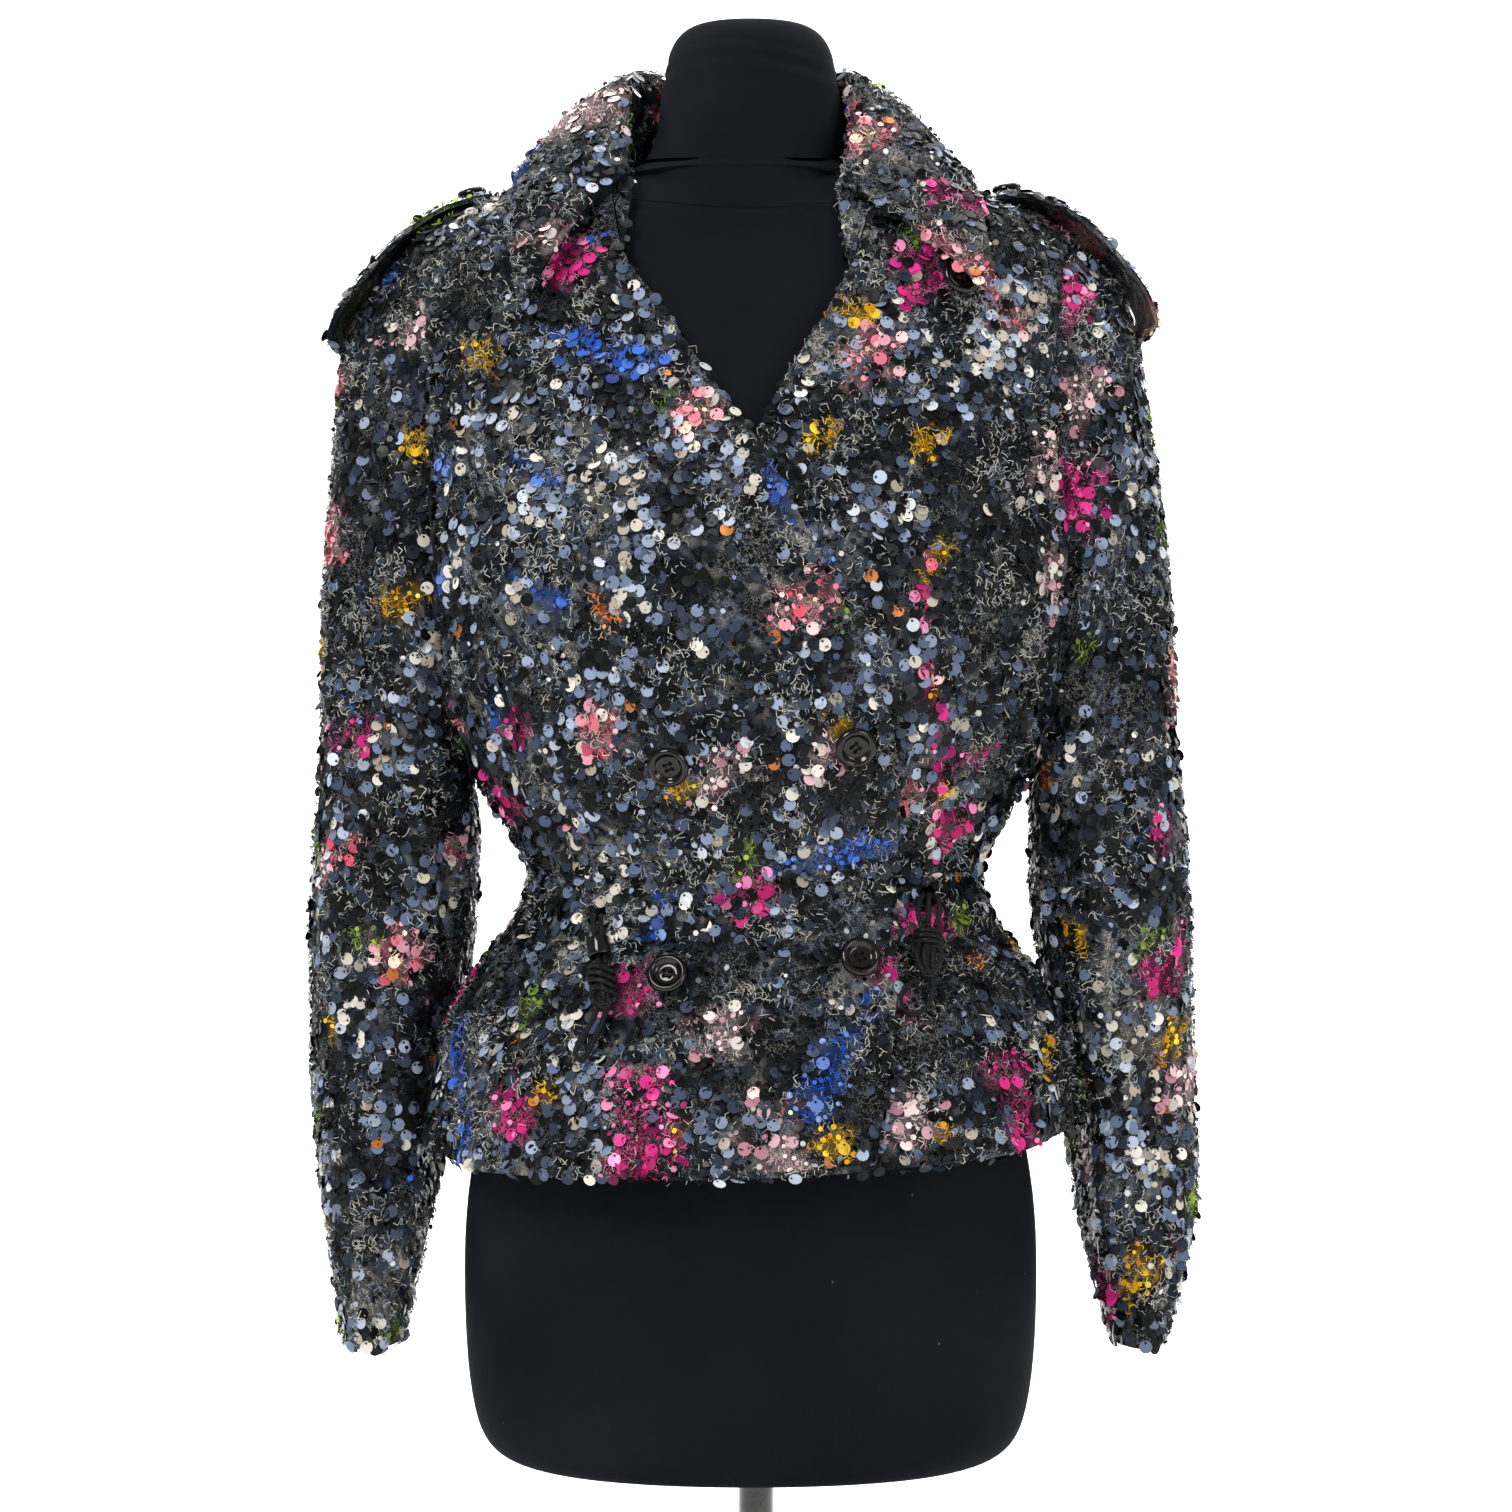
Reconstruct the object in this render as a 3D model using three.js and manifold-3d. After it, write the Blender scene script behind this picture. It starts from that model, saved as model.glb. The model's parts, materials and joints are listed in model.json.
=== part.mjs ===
// A utility jacket of sequined cloth on a limbless dress form, in millimetres.
// X runs to the right of a viewer who faces the jacket's front, Y away from them, and Z up.
// The stand's underside lies at Z = 0. "Right" and "left" in names are the wearer's own.
import * as THREE from "three";
import { mergeVertices } from "three/addons/utils/BufferGeometryUtils.js";
import Module from "manifold-3d";

// Cloth walls and the gaps between pieces
const CLOTH = 2;
const COLLAR_CLOTH = 2.4;
const SEAM_GAP = 0.3;
const HALF_GAP = SEAM_GAP / 2;
const LAYER_GAP = 1.7;

// Heights of the jacket's main lines
const CASING_BOTTOM = 495;
const CASING_TOP = 528;
const UNDERARM = 588;
const SHOULDER_POINT = 882;
const NECK_TOP = 919.5;
const BACK_NECK = 905;
const NECK_HALF = 77.5;

// The stand under the form
const BASE_RADIUS = 160;
const BASE_THICK = 12;
const POLE_RADIUS = 10;
const FORM_BOTTOM = 200;
const FORM_CENTRE = -3;
// Moves all pieces across, so that the widest points lie evenly about the origin
const ORIGIN_SHIFT = 1.92;

// How square a body section is: 1 is an ellipse, and less than 1 is squarer
const SQUARENESS = 0.9;

// Gathers pulled in by the drawcord, and flares in the peplum
const GATHERS = 15;
const GATHER_DEPTH = 1.9;
const GATHER_REACH = 34;
const FLARES = 8;
const FLARE_DEPTH = 5.5;
// Both are calmer at the front, where two layers cross
const FRONT_CALM = 0.8;
const FRONT_CALM_TURN = 0.62;

// Columns of facets in each piece
const FRONT_COLUMNS = 12;
const BACK_COLUMNS = 8;
const ARMHOLE_STEPS = 10;
const SLEEVE_RINGS = 21;
const COLLAR_COLUMNS = 24;

// Buttons
const BUTTON_RADIUS = 11;
const BUTTON_THICK = 4.4;
const SMALL_BUTTON_RADIUS = 8.5;

// Drawcord
const CORD_RADIUS = 1.5;
const CORD_SIDES = 8;
const CORD_HOLE_RADIUS = 6.5;
const STRAND_STEPS = 7;
const TAIL_STEPS = 16;
const TAIL_POINTS = 8;

// Jacket sections: half-width, front depth and back depth at a height
const JACKET = [
  { z: 370, half: 182, front: 146, back: 146 },
  { z: 400, half: 181, front: 141, back: 142 },
  { z: 440, half: 174, front: 127, back: 128 },
  { z: 470, half: 159, front: 111, back: 112 },
  { z: 495, half: 139, front: 100, back: 99 },
  { z: 512, half: 129, front: 95, back: 92 },
  { z: 528, half: 126, front: 95, back: 90 },
  { z: 545, half: 132, front: 101, back: 93 },
  { z: 565, half: 144, front: 110, back: 99 },
  { z: 588, half: 157, front: 119, back: 106 },
  { z: 615, half: 170, front: 127, back: 112 },
  { z: 648, half: 180, front: 132, back: 117 },
  { z: 690, half: 186, front: 134, back: 121 },
  { z: 735, half: 189, front: 128, back: 123 },
  { z: 780, half: 193, front: 114, back: 122 },
  { z: 820, half: 197, front: 99, back: 115 },
  { z: 850, half: 199, front: 88, back: 105 },
  { z: 868, half: 196, front: 81, back: 97 },
  { z: 882, half: 184, front: 75, back: 90 },
  { z: 893, half: 166, front: 69, back: 84 },
  { z: 902, half: 147, front: 63, back: 79 },
  { z: 911, half: 119, front: 56, back: 73 },
  { z: 917, half: 94, front: 49, back: 66 },
  { z: 921, half: 78, front: 42, back: 58 },
];

// The jacket leans a little to the wearer's right: its middle at a height
const LEAN = [
  { z: 370, x: 0 },
  { z: 588, x: -2 },
  { z: 700, x: -4 },
  { z: 860, x: -8 },
  { z: 930, x: -8 },
];

// Where the armhole cuts the body: distance from the middle at a height
const ARMHOLE = [
  { z: 588, out: 157 },
  { z: 595, out: 160.6 },
  { z: 616, out: 165.4 },
  { z: 648, out: 167.6 },
  { z: 690, out: 168.6 },
  { z: 735, out: 169 },
  { z: 780, out: 169.6 },
  { z: 821, out: 171.4 },
  { z: 854, out: 175 },
  { z: 875, out: 180.4 },
  { z: 882, out: 184 },
];

// Free edge of the right front, which lies on top, from the hem up past the foot of the neck V
const OVER_EDGE = [
  { z: 370, x: 61 },
  { z: 432, x: 70 },
  { z: 485, x: 75 },
  { z: 570, x: 75 },
  { z: 613, x: 71 },
  { z: 650, x: 56 },
  { z: 690, x: 38 },
  { z: 720, x: 22 },
  { z: 748, x: 9 },
  { z: 761, x: 0 },
  { z: 777, x: -12 },
  { z: 790, x: -23 },
  { z: 820, x: -41 },
  { z: 840, x: -55 },
  { z: 862, x: -71 },
  { z: 885, x: -76 },
  { z: 905, x: -80 },
  { z: 921, x: -85.5 },
];

// Free edge of the left front, which lies under
const UNDER_EDGE = [
  { z: 370, x: -48 },
  { z: 432, x: -56 },
  { z: 528, x: -60 },
  { z: 600, x: -58 },
  { z: 650, x: -48 },
  { z: 700, x: -32 },
  { z: 745, x: -9 },
  { z: 761, x: 2 },
  { z: 782, x: 10 },
  { z: 802, x: 19 },
  { z: 820, x: 31 },
  { z: 853, x: 49 },
  { z: 870, x: 56 },
  { z: 890, x: 62 },
  { z: 905, x: 65 },
  { z: 921, x: 69.5 },
];

// Sleeve rings from just past the armhole to the cuff seam. A ring runs from its outer point to its inner
// point; deep is its half-depth and back how far behind the middle of the body it hangs.
const SLEEVE = [
  { outZ: 872, inZ: 587.0, rightOut: 200, leftOut: 191, rightIn: 159.6, leftIn: 155.6, deep: 55, back: 2 },
  { outZ: 861, inZ: 586.0, rightOut: 210, leftOut: 201, rightIn: 160.0, leftIn: 156.0, deep: 57, back: 3 },
  { outZ: 847, inZ: 585.0, rightOut: 219, leftOut: 208, rightIn: 160.2, leftIn: 156.2, deep: 59, back: 4 },
  { outZ: 833, inZ: 584.0, rightOut: 227, leftOut: 212, rightIn: 160.4, leftIn: 156.4, deep: 61, back: 5 },
  { outZ: 817, inZ: 583.0, rightOut: 232, leftOut: 215, rightIn: 160.4, leftIn: 156.4, deep: 62, back: 6 },
  { outZ: 790, inZ: 581.6, rightOut: 235, leftOut: 219, rightIn: 160.2, leftIn: 156.2, deep: 63, back: 7 },
  { outZ: 750, inZ: 579.8, rightOut: 238, leftOut: 225, rightIn: 160.0, leftIn: 156.0, deep: 63, back: 8 },
  { outZ: 703, inZ: 577.5, rightOut: 242, leftOut: 231, rightIn: 159.5, leftIn: 155.5, deep: 63, back: 9 },
  { outZ: 655, inZ: 574.0, rightOut: 243, leftOut: 234, rightIn: 159.0, leftIn: 155.2, deep: 62, back: 10 },
  { outZ: 612, inZ: 568.0, rightOut: 244, leftOut: 235, rightIn: 158.0, leftIn: 155.0, deep: 61, back: 12 },
  { outZ: 577, inZ: 556.0, rightOut: 246, leftOut: 238, rightIn: 157.0, leftIn: 155.0, deep: 60, back: 14 },
  { outZ: 545, inZ: 535.0, rightOut: 249, leftOut: 243, rightIn: 157.0, leftIn: 155.0, deep: 59, back: 17 },
  { outZ: 508, inZ: 505.0, rightOut: 252, leftOut: 246, rightIn: 158.0, leftIn: 156.0, deep: 58, back: 22 },
  { outZ: 472, inZ: 472.0, rightOut: 253, leftOut: 247, rightIn: 161.0, leftIn: 159.0, deep: 58, back: 28 },
  { outZ: 440, inZ: 440.0, rightOut: 254, leftOut: 248, rightIn: 164.0, leftIn: 163.0, deep: 57, back: 32 },
  { outZ: 408, inZ: 408.0, rightOut: 253, leftOut: 249, rightIn: 166.0, leftIn: 166.0, deep: 56, back: 32 },
  { outZ: 377, inZ: 377.0, rightOut: 251, leftOut: 250, rightIn: 168.0, leftIn: 170.0, deep: 54, back: 30 },
  { outZ: 349, inZ: 350.0, rightOut: 248, leftOut: 250, rightIn: 171.0, leftIn: 174.0, deep: 51, back: 27 },
  { outZ: 327, inZ: 328.0, rightOut: 243, leftOut: 247, rightIn: 180.0, leftIn: 179.0, deep: 47, back: 24 },
  { outZ: 308, inZ: 309.5, rightOut: 239, leftOut: 243, rightIn: 188.0, leftIn: 188.0, deep: 44, back: 21 },
  { outZ: 291.5, inZ: 292.5, rightOut: 236, leftOut: 238, rightIn: 194.0, leftIn: 193.0, deep: 41, back: 19 },
];

// Long folds in the sleeves. turn is degrees from the outer point towards the front, wide is in degrees,
// and top and end are ring places in the table above.
const SLEEVE_FOLDS = {
  right: [
    { turn: 84, wide: 17, depth: -8, top: 6, end: 13, drift: 10 },
    { turn: 52, wide: 15, depth: 4, top: 6, end: 14, drift: 8 },
    { turn: 124, wide: 16, depth: 3.5, top: 8, end: 15, drift: -6 },
    { turn: 30, wide: 15, depth: -4, top: 12, end: 19, drift: -14 },
    { turn: 90, wide: 15, depth: -5, top: 14, end: 20, drift: 12 },
    { turn: 262, wide: 19, depth: -7, top: 5, end: 13, drift: 12 },
    { turn: 305, wide: 17, depth: -5, top: 11, end: 18, drift: -10 },
  ],
  left: [
    { turn: 100, wide: 17, depth: -8, top: 5, end: 13, drift: -8 },
    { turn: 66, wide: 15, depth: 4, top: 5, end: 13, drift: -6 },
    { turn: 42, wide: 15, depth: -4, top: 9, end: 16, drift: 12 },
    { turn: 84, wide: 15, depth: -5, top: 13, end: 20, drift: -10 },
    { turn: 252, wide: 19, depth: -7, top: 6, end: 14, drift: -10 },
    { turn: 300, wide: 17, depth: -5, top: 10, end: 18, drift: 8 },
  ],
};

// Cuff rings, from the seam to the open end
const CUFF = [
  { outZ: 291.2, inZ: 292.2, rightOut: 236, leftOut: 238, rightIn: 194, leftIn: 193, deep: 41, back: 19 },
  { outZ: 277, inZ: 278, rightOut: 235, leftOut: 235, rightIn: 196, leftIn: 197, deep: 40, back: 19 },
  { outZ: 264, inZ: 265, rightOut: 232, leftOut: 229, rightIn: 199, leftIn: 201, deep: 39, back: 19 },
];

// Collar: the fold line and the free edge, from the right point round the back to the left point
const COLLAR = [
  { foldX: -70, foldY: -60, foldZ: 911, edgeX: -127, edgeY: -99, edgeZ: 832 },
  { foldX: -75, foldY: -36, foldZ: 947, edgeX: -133, edgeY: -72, edgeZ: 876 },
  { foldX: -74, foldY: 0, foldZ: 975, edgeX: -134, edgeY: -10, edgeZ: 920 },
  { foldX: -53, foldY: 46, foldZ: 984, edgeX: -94, edgeY: 84, edgeZ: 918 },
  { foldX: -9, foldY: 66, foldZ: 986, edgeX: -9, edgeY: 118, edgeZ: 906 },
  { foldX: 35, foldY: 46, foldZ: 984, edgeX: 78, edgeY: 84, edgeZ: 918 },
  { foldX: 55.5, foldY: 0, foldZ: 976, edgeX: 117, edgeY: -10, edgeZ: 919 },
  { foldX: 55, foldY: -36, foldZ: 945, edgeX: 124, edgeY: -70, edgeZ: 880 },
  { foldX: 46, foldY: -60, foldZ: 905, edgeX: 128, edgeY: -99, edgeZ: 838 },
];

// Epaulettes: the middle line of each strap's top face, from the collar end to the free outer end
const EPAULETTE_RIGHT = [
  { x: -149, z: 907.8 },
  { x: -168, z: 903.5 },
  { x: -183, z: 896 },
  { x: -196, z: 886 },
  { x: -207, z: 876 },
  { x: -217, z: 864 },
  { x: -227, z: 851 },
  { x: -235, z: 839 },
  { x: -238.5, z: 828 },
  { x: -233.3, z: 818.8 },
];
const EPAULETTE_LEFT = [
  { x: 134, z: 907 },
  { x: 148, z: 909 },
  { x: 161, z: 906 },
  { x: 174, z: 900 },
  { x: 188, z: 889 },
  { x: 200, z: 877 },
  { x: 209, z: 866 },
  { x: 217, z: 855 },
  { x: 222, z: 844 },
  { x: 223.5, z: 834 },
  { x: 215, z: 825 },
];
const STRAP_HALF = 24;
const STRAP_THICK = 2.6;
const STRAP_ROLL = 3;
const UNDER_STRAP = { x: 190, z: 818 };

// Front buttons, on the right front: place across and height
const BUTTONS = [
  { name: "button_upper_right", x: -45, z: 590 },
  { name: "button_upper_left", x: 51, z: 600 },
  { name: "button_lower_right", x: -46, z: 475 },
  { name: "button_lower_left", x: 54, z: 484 },
];
const COLLAR_BUTTON = { x: 110, z: 851 };

// The two holes in the casing that the drawcord comes out of
const CORD_EXITS = {
  right: { x: -85, z: 507 },
  left: { x: 92.6, z: 518 },
};

// Routes of the drawcord's free strands and looped tails, as [x, y, z]
const CORDS = {
  cord_right_outer: [
    [-86.9, -81, 507.5],
    [-86.9, -87, 507.4],
    [-86.8, -92.4, 505.2],
    [-86.4, -95.6, 500.4],
    [-85.6, -97.4, 494.5],
    [-84.4, -100.2, 488.2],
    [-83.4, -103.6, 483],
  ],
  cord_right_inner: [
    [-83.1, -81.5, 507.5],
    [-83.1, -87, 507.4],
    [-83, -92.4, 505.2],
    [-82.6, -95.6, 500.4],
    [-81.9, -97.4, 494.5],
    [-80.9, -100.2, 488.2],
    [-80, -103.6, 483],
  ],
  tail_right: [
    [-77.6, -117.4, 458.8],
    [-78.2, -119.4, 453],
    [-80.2, -121, 446.4],
    [-82.6, -121.9, 440.6],
    [-85.6, -122.6, 435.6],
    [-90, -123, 433.2],
    [-94.4, -122.6, 435.6],
    [-95.6, -121.8, 440.8],
    [-92.6, -120.8, 446.2],
    [-87.4, -119.4, 452],
    [-83, -117.4, 458.8],
  ],
  cord_left_outer: [
    [96.5, -65.5, 518],
    [96.6, -73.4, 518],
    [97.8, -79.6, 516.6],
    [98.6, -83, 511.6],
    [97.6, -85.2, 506],
    [96, -87.6, 502.2],
  ],
  cord_left_middle: [
    [93.2, -66.5, 518.4],
    [93.2, -74.4, 518.4],
    [92.9, -81, 517],
    [92.6, -84.6, 511.6],
    [92.4, -86, 506],
    [92.3, -87.6, 502.2],
  ],
  cord_left_inner: [
    [90, -68, 518],
    [89.8, -76, 518],
    [88.2, -81.4, 516.2],
    [87, -84.6, 511.6],
    [87.6, -86.2, 506],
    [88.8, -87.6, 502.2],
  ],
  tail_left: [
    [94, -99.6, 474.8],
    [94, -103, 468.6],
    [91.6, -106.6, 462.4],
    [87.4, -109.2, 458.2],
    [82, -109.8, 457],
    [77.6, -108.6, 460],
    [76.6, -105.8, 465.4],
    [79.4, -102.6, 470.6],
    [83.2, -101, 473.2],
    [87.3, -100.5, 474],
  ],
};

// Knots, each about a line from its top to its bottom
const KNOTS = {
  knot_right: { top: [-81.7, -104.1, 482.2], bottom: [-80.2, -116.6, 459.6], wide: 1.08, deep: 0.72 },
  knot_left: { top: [92.3, -88, 501.4], bottom: [91.2, -99.2, 475.8], wide: 1.12, deep: 0.76 },
};
const KNOT_RADIUS = 8;
const BEAD = { at: [-83.6, -98.7, 491.6], along: [-1.1, 3, 6.6], radius: 6.4, hole: 4, height: 10.5 };

// Dress form sections
const FORM = [
  { z: 200, half: 118, front: 84, back: 88 },
  { z: 204, half: 138, front: 98, back: 102 },
  { z: 212, half: 149, front: 105, back: 110 },
  { z: 226, half: 156, front: 109, back: 115 },
  { z: 250, half: 160, front: 111, back: 118 },
  { z: 300, half: 162, front: 112, back: 119 },
  { z: 345, half: 161, front: 110, back: 117 },
  { z: 400, half: 151, front: 104, back: 108 },
  { z: 450, half: 136, front: 93, back: 94 },
  { z: 490, half: 121, front: 85, back: 84 },
  { z: 528, half: 115, front: 83, back: 79 },
  { z: 570, half: 121, front: 91, back: 82 },
  { z: 620, half: 134, front: 106, back: 89 },
  { z: 670, half: 146, front: 117, back: 95 },
  { z: 710, half: 150, front: 117, back: 100 },
  { z: 760, half: 153, front: 105, back: 105 },
  { z: 810, half: 160, front: 91, back: 107 },
  { z: 845, half: 170, front: 80, back: 100 },
  { z: 865, half: 175, front: 72, back: 91 },
  { z: 875, half: 172, front: 67, back: 85 },
];
const FORM_NECK = [
  { z: 916, half: 76.5, front: 53, back: 58 },
  { z: 917.6, half: 65, front: 52.5, back: 57 },
  { z: 922, half: 58.5, front: 52, back: 56 },
  { z: 932, half: 54, front: 51.5, back: 54 },
  { z: 950, half: 52, front: 50, back: 52 },
  { z: 968, half: 49.5, front: 48, back: 50 },
  { z: 984, half: 47, front: 46, back: 47 },
  { z: 993, half: 43, front: 42, back: 43 },
  { z: 999, half: 36.5, front: 36, back: 36 },
  { z: 1002, half: 27, front: 26, back: 26 },
];
// How far the form lies below the jacket's outer face along the shoulders
const SHOULDER_DROP = 2.9;

// Colours, roughness and metalness
const MATERIALS = {
  cloth: { color: 0x2a2f3a, roughness: 0.55, metalness: 0.1 },
  jersey: { color: 0x17191c, roughness: 0.9, metalness: 0 },
  button: { color: 0x1a1412, roughness: 0.15, metalness: 0 },
  cord: { color: 0x0c0c0d, roughness: 0.7, metalness: 0 },
  stand: { color: 0x0a0a0b, roughness: 0.25, metalness: 0.4 },
};

const wasm = await Module();
wasm.setup();

const part = new THREE.Group();

function add(name, geometry, look) {
  const mesh = new THREE.Mesh(geometry, new THREE.MeshStandardMaterial(MATERIALS[look]));
  mesh.name = name;
  part.add(mesh);
  return mesh;
}

// A smooth curve through one column of a table, read by another column that rises. Slopes are limited so
// that it never runs past its own values.
function curveOf(rows, column, by = "z") {
  const at = rows.map((row) => row[by]);
  const value = rows.map((row) => row[column]);
  const last = rows.length - 1;
  const rise = at.slice(1).map((to, i) => (value[i + 1] - value[i]) / (to - at[i]));
  const slope = value.map((_, i) => {
    if (i === 0) return rise[0];
    if (i === last) return rise[last - 1];
    if (rise[i - 1] * rise[i] <= 0) return 0;
    return (2 * rise[i - 1] * rise[i]) / (rise[i - 1] + rise[i]);
  });
  return (wanted) => {
    const u = THREE.MathUtils.clamp(wanted, at[0], at[last]);
    let i = 0;
    while (i < last - 1 && u > at[i + 1]) i += 1;
    const step = at[i + 1] - at[i];
    const t = (u - at[i]) / step;
    const t2 = t * t;
    const t3 = t2 * t;
    return (
      value[i] * (2 * t3 - 3 * t2 + 1) +
      slope[i] * step * (t3 - 2 * t2 + t) +
      value[i + 1] * (3 * t2 - 2 * t3) +
      slope[i + 1] * step * (t3 - t2)
    );
  };
}

const withIndex = (rows) => rows.map((row, place) => ({ ...row, place }));
const power = (value, exponent) => Math.sign(value) * Math.abs(value) ** exponent;

const jacketHalf = curveOf(JACKET, "half");
const jacketFront = curveOf(JACKET, "front");
const jacketBack = curveOf(JACKET, "back");
const middleAt = curveOf(LEAN, "x");
const armholeOut = curveOf(ARMHOLE, "out");
const overEdge = curveOf(OVER_EDGE, "x");
const underEdge = curveOf(UNDER_EDGE, "x");

// How far gathers and flares push the cloth out. The angle is 0 at the front and rises towards +X.
function rippleAt(angle, z) {
  const waist = Math.abs(z - (z > CASING_TOP ? CASING_TOP : Math.min(z, CASING_BOTTOM)));
  const below = z < CASING_BOTTOM ? CASING_BOTTOM - z : 0;
  const away = z > CASING_TOP ? waist : below;
  const calm = 1 - FRONT_CALM * Math.exp(-((angle / FRONT_CALM_TURN) ** 2));
  const uneven = 1 + 0.35 * Math.sin(3 * angle + 1);
  const fading = Math.exp(-((away / GATHER_REACH) ** 2));
  const gather = GATHER_DEPTH * uneven * fading * Math.cos(GATHERS * angle + 0.7);
  const open = (below / (CASING_BOTTOM - JACKET[0].z)) ** 1.3;
  const flare = Math.cos(FLARES * angle + 0.4) + 0.4 * Math.cos(5 * angle + 2.2);
  return calm * (gather + FLARE_DEPTH * open * flare);
}

// A point of the jacket's outer face
function jacketPoint(angle, z) {
  const sine = Math.sin(angle);
  const cosine = Math.cos(angle);
  const depth = cosine > 0 ? jacketFront(z) : jacketBack(z);
  const out = rippleAt(angle, z);
  return new THREE.Vector3(
    middleAt(z) + jacketHalf(z) * power(sine, SQUARENESS) + out * sine,
    -depth * power(cosine, SQUARENESS) - out * cosine,
    z,
  );
}

const NORMAL_TURN = 0.03;
const NORMAL_RISE = 1.5;
const LEVEL_REACH = 12;

// Outward from the cloth, and level at the two seams of the casing, so that walls meet there edge to edge
function jacketNormal(angle, z) {
  const across = jacketPoint(angle + NORMAL_TURN, z).sub(jacketPoint(angle - NORMAL_TURN, z));
  const top = Math.min(z + NORMAL_RISE, JACKET.at(-1).z);
  const up = jacketPoint(angle, top).sub(jacketPoint(angle, z - NORMAL_RISE));
  const normal = across.cross(up).normalize();
  const toSeam = Math.min(Math.abs(z - CASING_BOTTOM), Math.abs(z - CASING_TOP));
  normal.z *= THREE.MathUtils.smoothstep(toSeam, 1, LEVEL_REACH);
  return normal.normalize();
}

// The angle at which the section at a height has the given place across
function angleAt(x, z) {
  const share = (x - middleAt(z)) / jacketHalf(z);
  return Math.asin(power(THREE.MathUtils.clamp(share, -1, 1), 1 / SQUARENESS));
}

function clothPoint(angle, z, lift = 0) {
  const normal = jacketNormal(angle, z);
  return { point: jacketPoint(angle, z).addScaledVector(normal, lift), normal };
}

function closedGeometry(points, faces) {
  const geometry = new THREE.BufferGeometry();
  geometry.setAttribute("position", new THREE.Float32BufferAttribute(points.flatMap((p) => p.toArray()), 3));
  const corners = faces.flat();
  let volume = 0;
  for (let i = 0; i < corners.length; i += 3) {
    const [a, b, c] = [points[corners[i]], points[corners[i + 1]], points[corners[i + 2]]];
    volume += a.dot(b.clone().cross(c));
  }
  if (volume < 0) corners.reverse();
  geometry.setIndex(corners);
  geometry.computeVertexNormals();
  return geometry;
}

// A cloth wall: a lattice of outer points with their normals, and the same lattice set in by the thickness
function wall(lattice, thickness, ring = false) {
  const rowCount = lattice.length;
  const columnCount = lattice[0].length;
  const points = [];
  lattice.forEach((row) => row.forEach((spot) => points.push(spot.point)));
  lattice.forEach((row) =>
    row.forEach((spot) => points.push(spot.point.clone().addScaledVector(spot.normal, -thickness))),
  );
  const outer = (i, j) => i * columnCount + (j % columnCount);
  const inner = (i, j) => rowCount * columnCount + outer(i, j);
  const faces = [];
  const quad = (a, b, c, d) => faces.push([a, b, c], [a, c, d]);
  const spans = ring ? columnCount : columnCount - 1;
  for (let i = 0; i < rowCount - 1; i += 1) {
    for (let j = 0; j < spans; j += 1) {
      quad(outer(i, j), outer(i, j + 1), outer(i + 1, j + 1), outer(i + 1, j));
      faces.push([inner(i, j), inner(i + 1, j + 1), inner(i, j + 1)]);
      faces.push([inner(i, j), inner(i + 1, j), inner(i + 1, j + 1)]);
    }
  }
  const end = rowCount - 1;
  for (let j = 0; j < spans; j += 1) {
    quad(outer(0, j), inner(0, j), inner(0, j + 1), outer(0, j + 1));
    quad(outer(end, j), outer(end, j + 1), inner(end, j + 1), inner(end, j));
  }
  if (!ring) {
    const side = columnCount - 1;
    for (let i = 0; i < end; i += 1) {
      quad(outer(i, 0), outer(i + 1, 0), inner(i + 1, 0), inner(i, 0));
      quad(outer(i, side), inner(i, side), inner(i + 1, side), outer(i + 1, side));
    }
  }
  return closedGeometry(points, faces);
}

// Normals from a lattice's own neighbours, pointing away from the given inside point of each row
function withNormals(rows, insideOf, ring = false) {
  const last = rows.length - 1;
  const columns = rows[0].length;
  return rows.map((row, i) =>
    row.map((point, j) => {
      const before = ring ? row[(j + columns - 1) % columns] : row[Math.max(j - 1, 0)];
      const after = ring ? row[(j + 1) % columns] : row[Math.min(j + 1, columns - 1)];
      const along = after.clone().sub(before);
      const down = rows[Math.min(i + 1, last)][j].clone().sub(rows[Math.max(i - 1, 0)][j]);
      const normal = along.cross(down).normalize();
      if (normal.dot(point.clone().sub(insideOf(i, j))) < 0) normal.negate();
      return { point, normal };
    }),
  );
}

// A solid body from rings, closed at both ends
function solidRings(rings) {
  const columns = rings[0].length;
  const points = rings.flat();
  const bottom = points.length;
  const top = bottom + 1;
  const centre = (ring) =>
    ring.reduce((sum, p) => sum.add(p), new THREE.Vector3()).multiplyScalar(1 / columns);
  points.push(centre(rings[0]), centre(rings.at(-1)));
  const faces = [];
  for (let i = 0; i < rings.length - 1; i += 1) {
    for (let j = 0; j < columns; j += 1) {
      const [a, b] = [i * columns + j, i * columns + ((j + 1) % columns)];
      faces.push([a, b, b + columns], [a, b + columns, a + columns]);
    }
  }
  const start = (rings.length - 1) * columns;
  for (let j = 0; j < columns; j += 1) {
    faces.push([bottom, (j + 1) % columns, j]);
    faces.push([top, start + j, start + ((j + 1) % columns)]);
  }
  return closedGeometry(points, faces);
}

function toSolid(geometry) {
  const bare = geometry.clone();
  bare.deleteAttribute("normal");
  bare.deleteAttribute("uv");
  const merged = mergeVertices(bare, 1e-4);
  return new wasm.Manifold(
    new wasm.Mesh({
      numProp: 3,
      vertProperties: merged.attributes.position.array,
      triVerts: new Uint32Array(merged.index.array),
    }),
  );
}

function cut(geometry, tools) {
  let solid = toSolid(geometry);
  tools.forEach((tool) => {
    solid = solid.subtract(toSolid(tool));
  });
  const mesh = solid.getMesh();
  const result = new THREE.BufferGeometry();
  result.setAttribute("position", new THREE.BufferAttribute(new Float32Array(mesh.vertProperties), 3));
  result.setIndex(new THREE.BufferAttribute(new Uint32Array(mesh.triVerts), 1));
  result.computeVertexNormals();
  return result;
}

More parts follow.
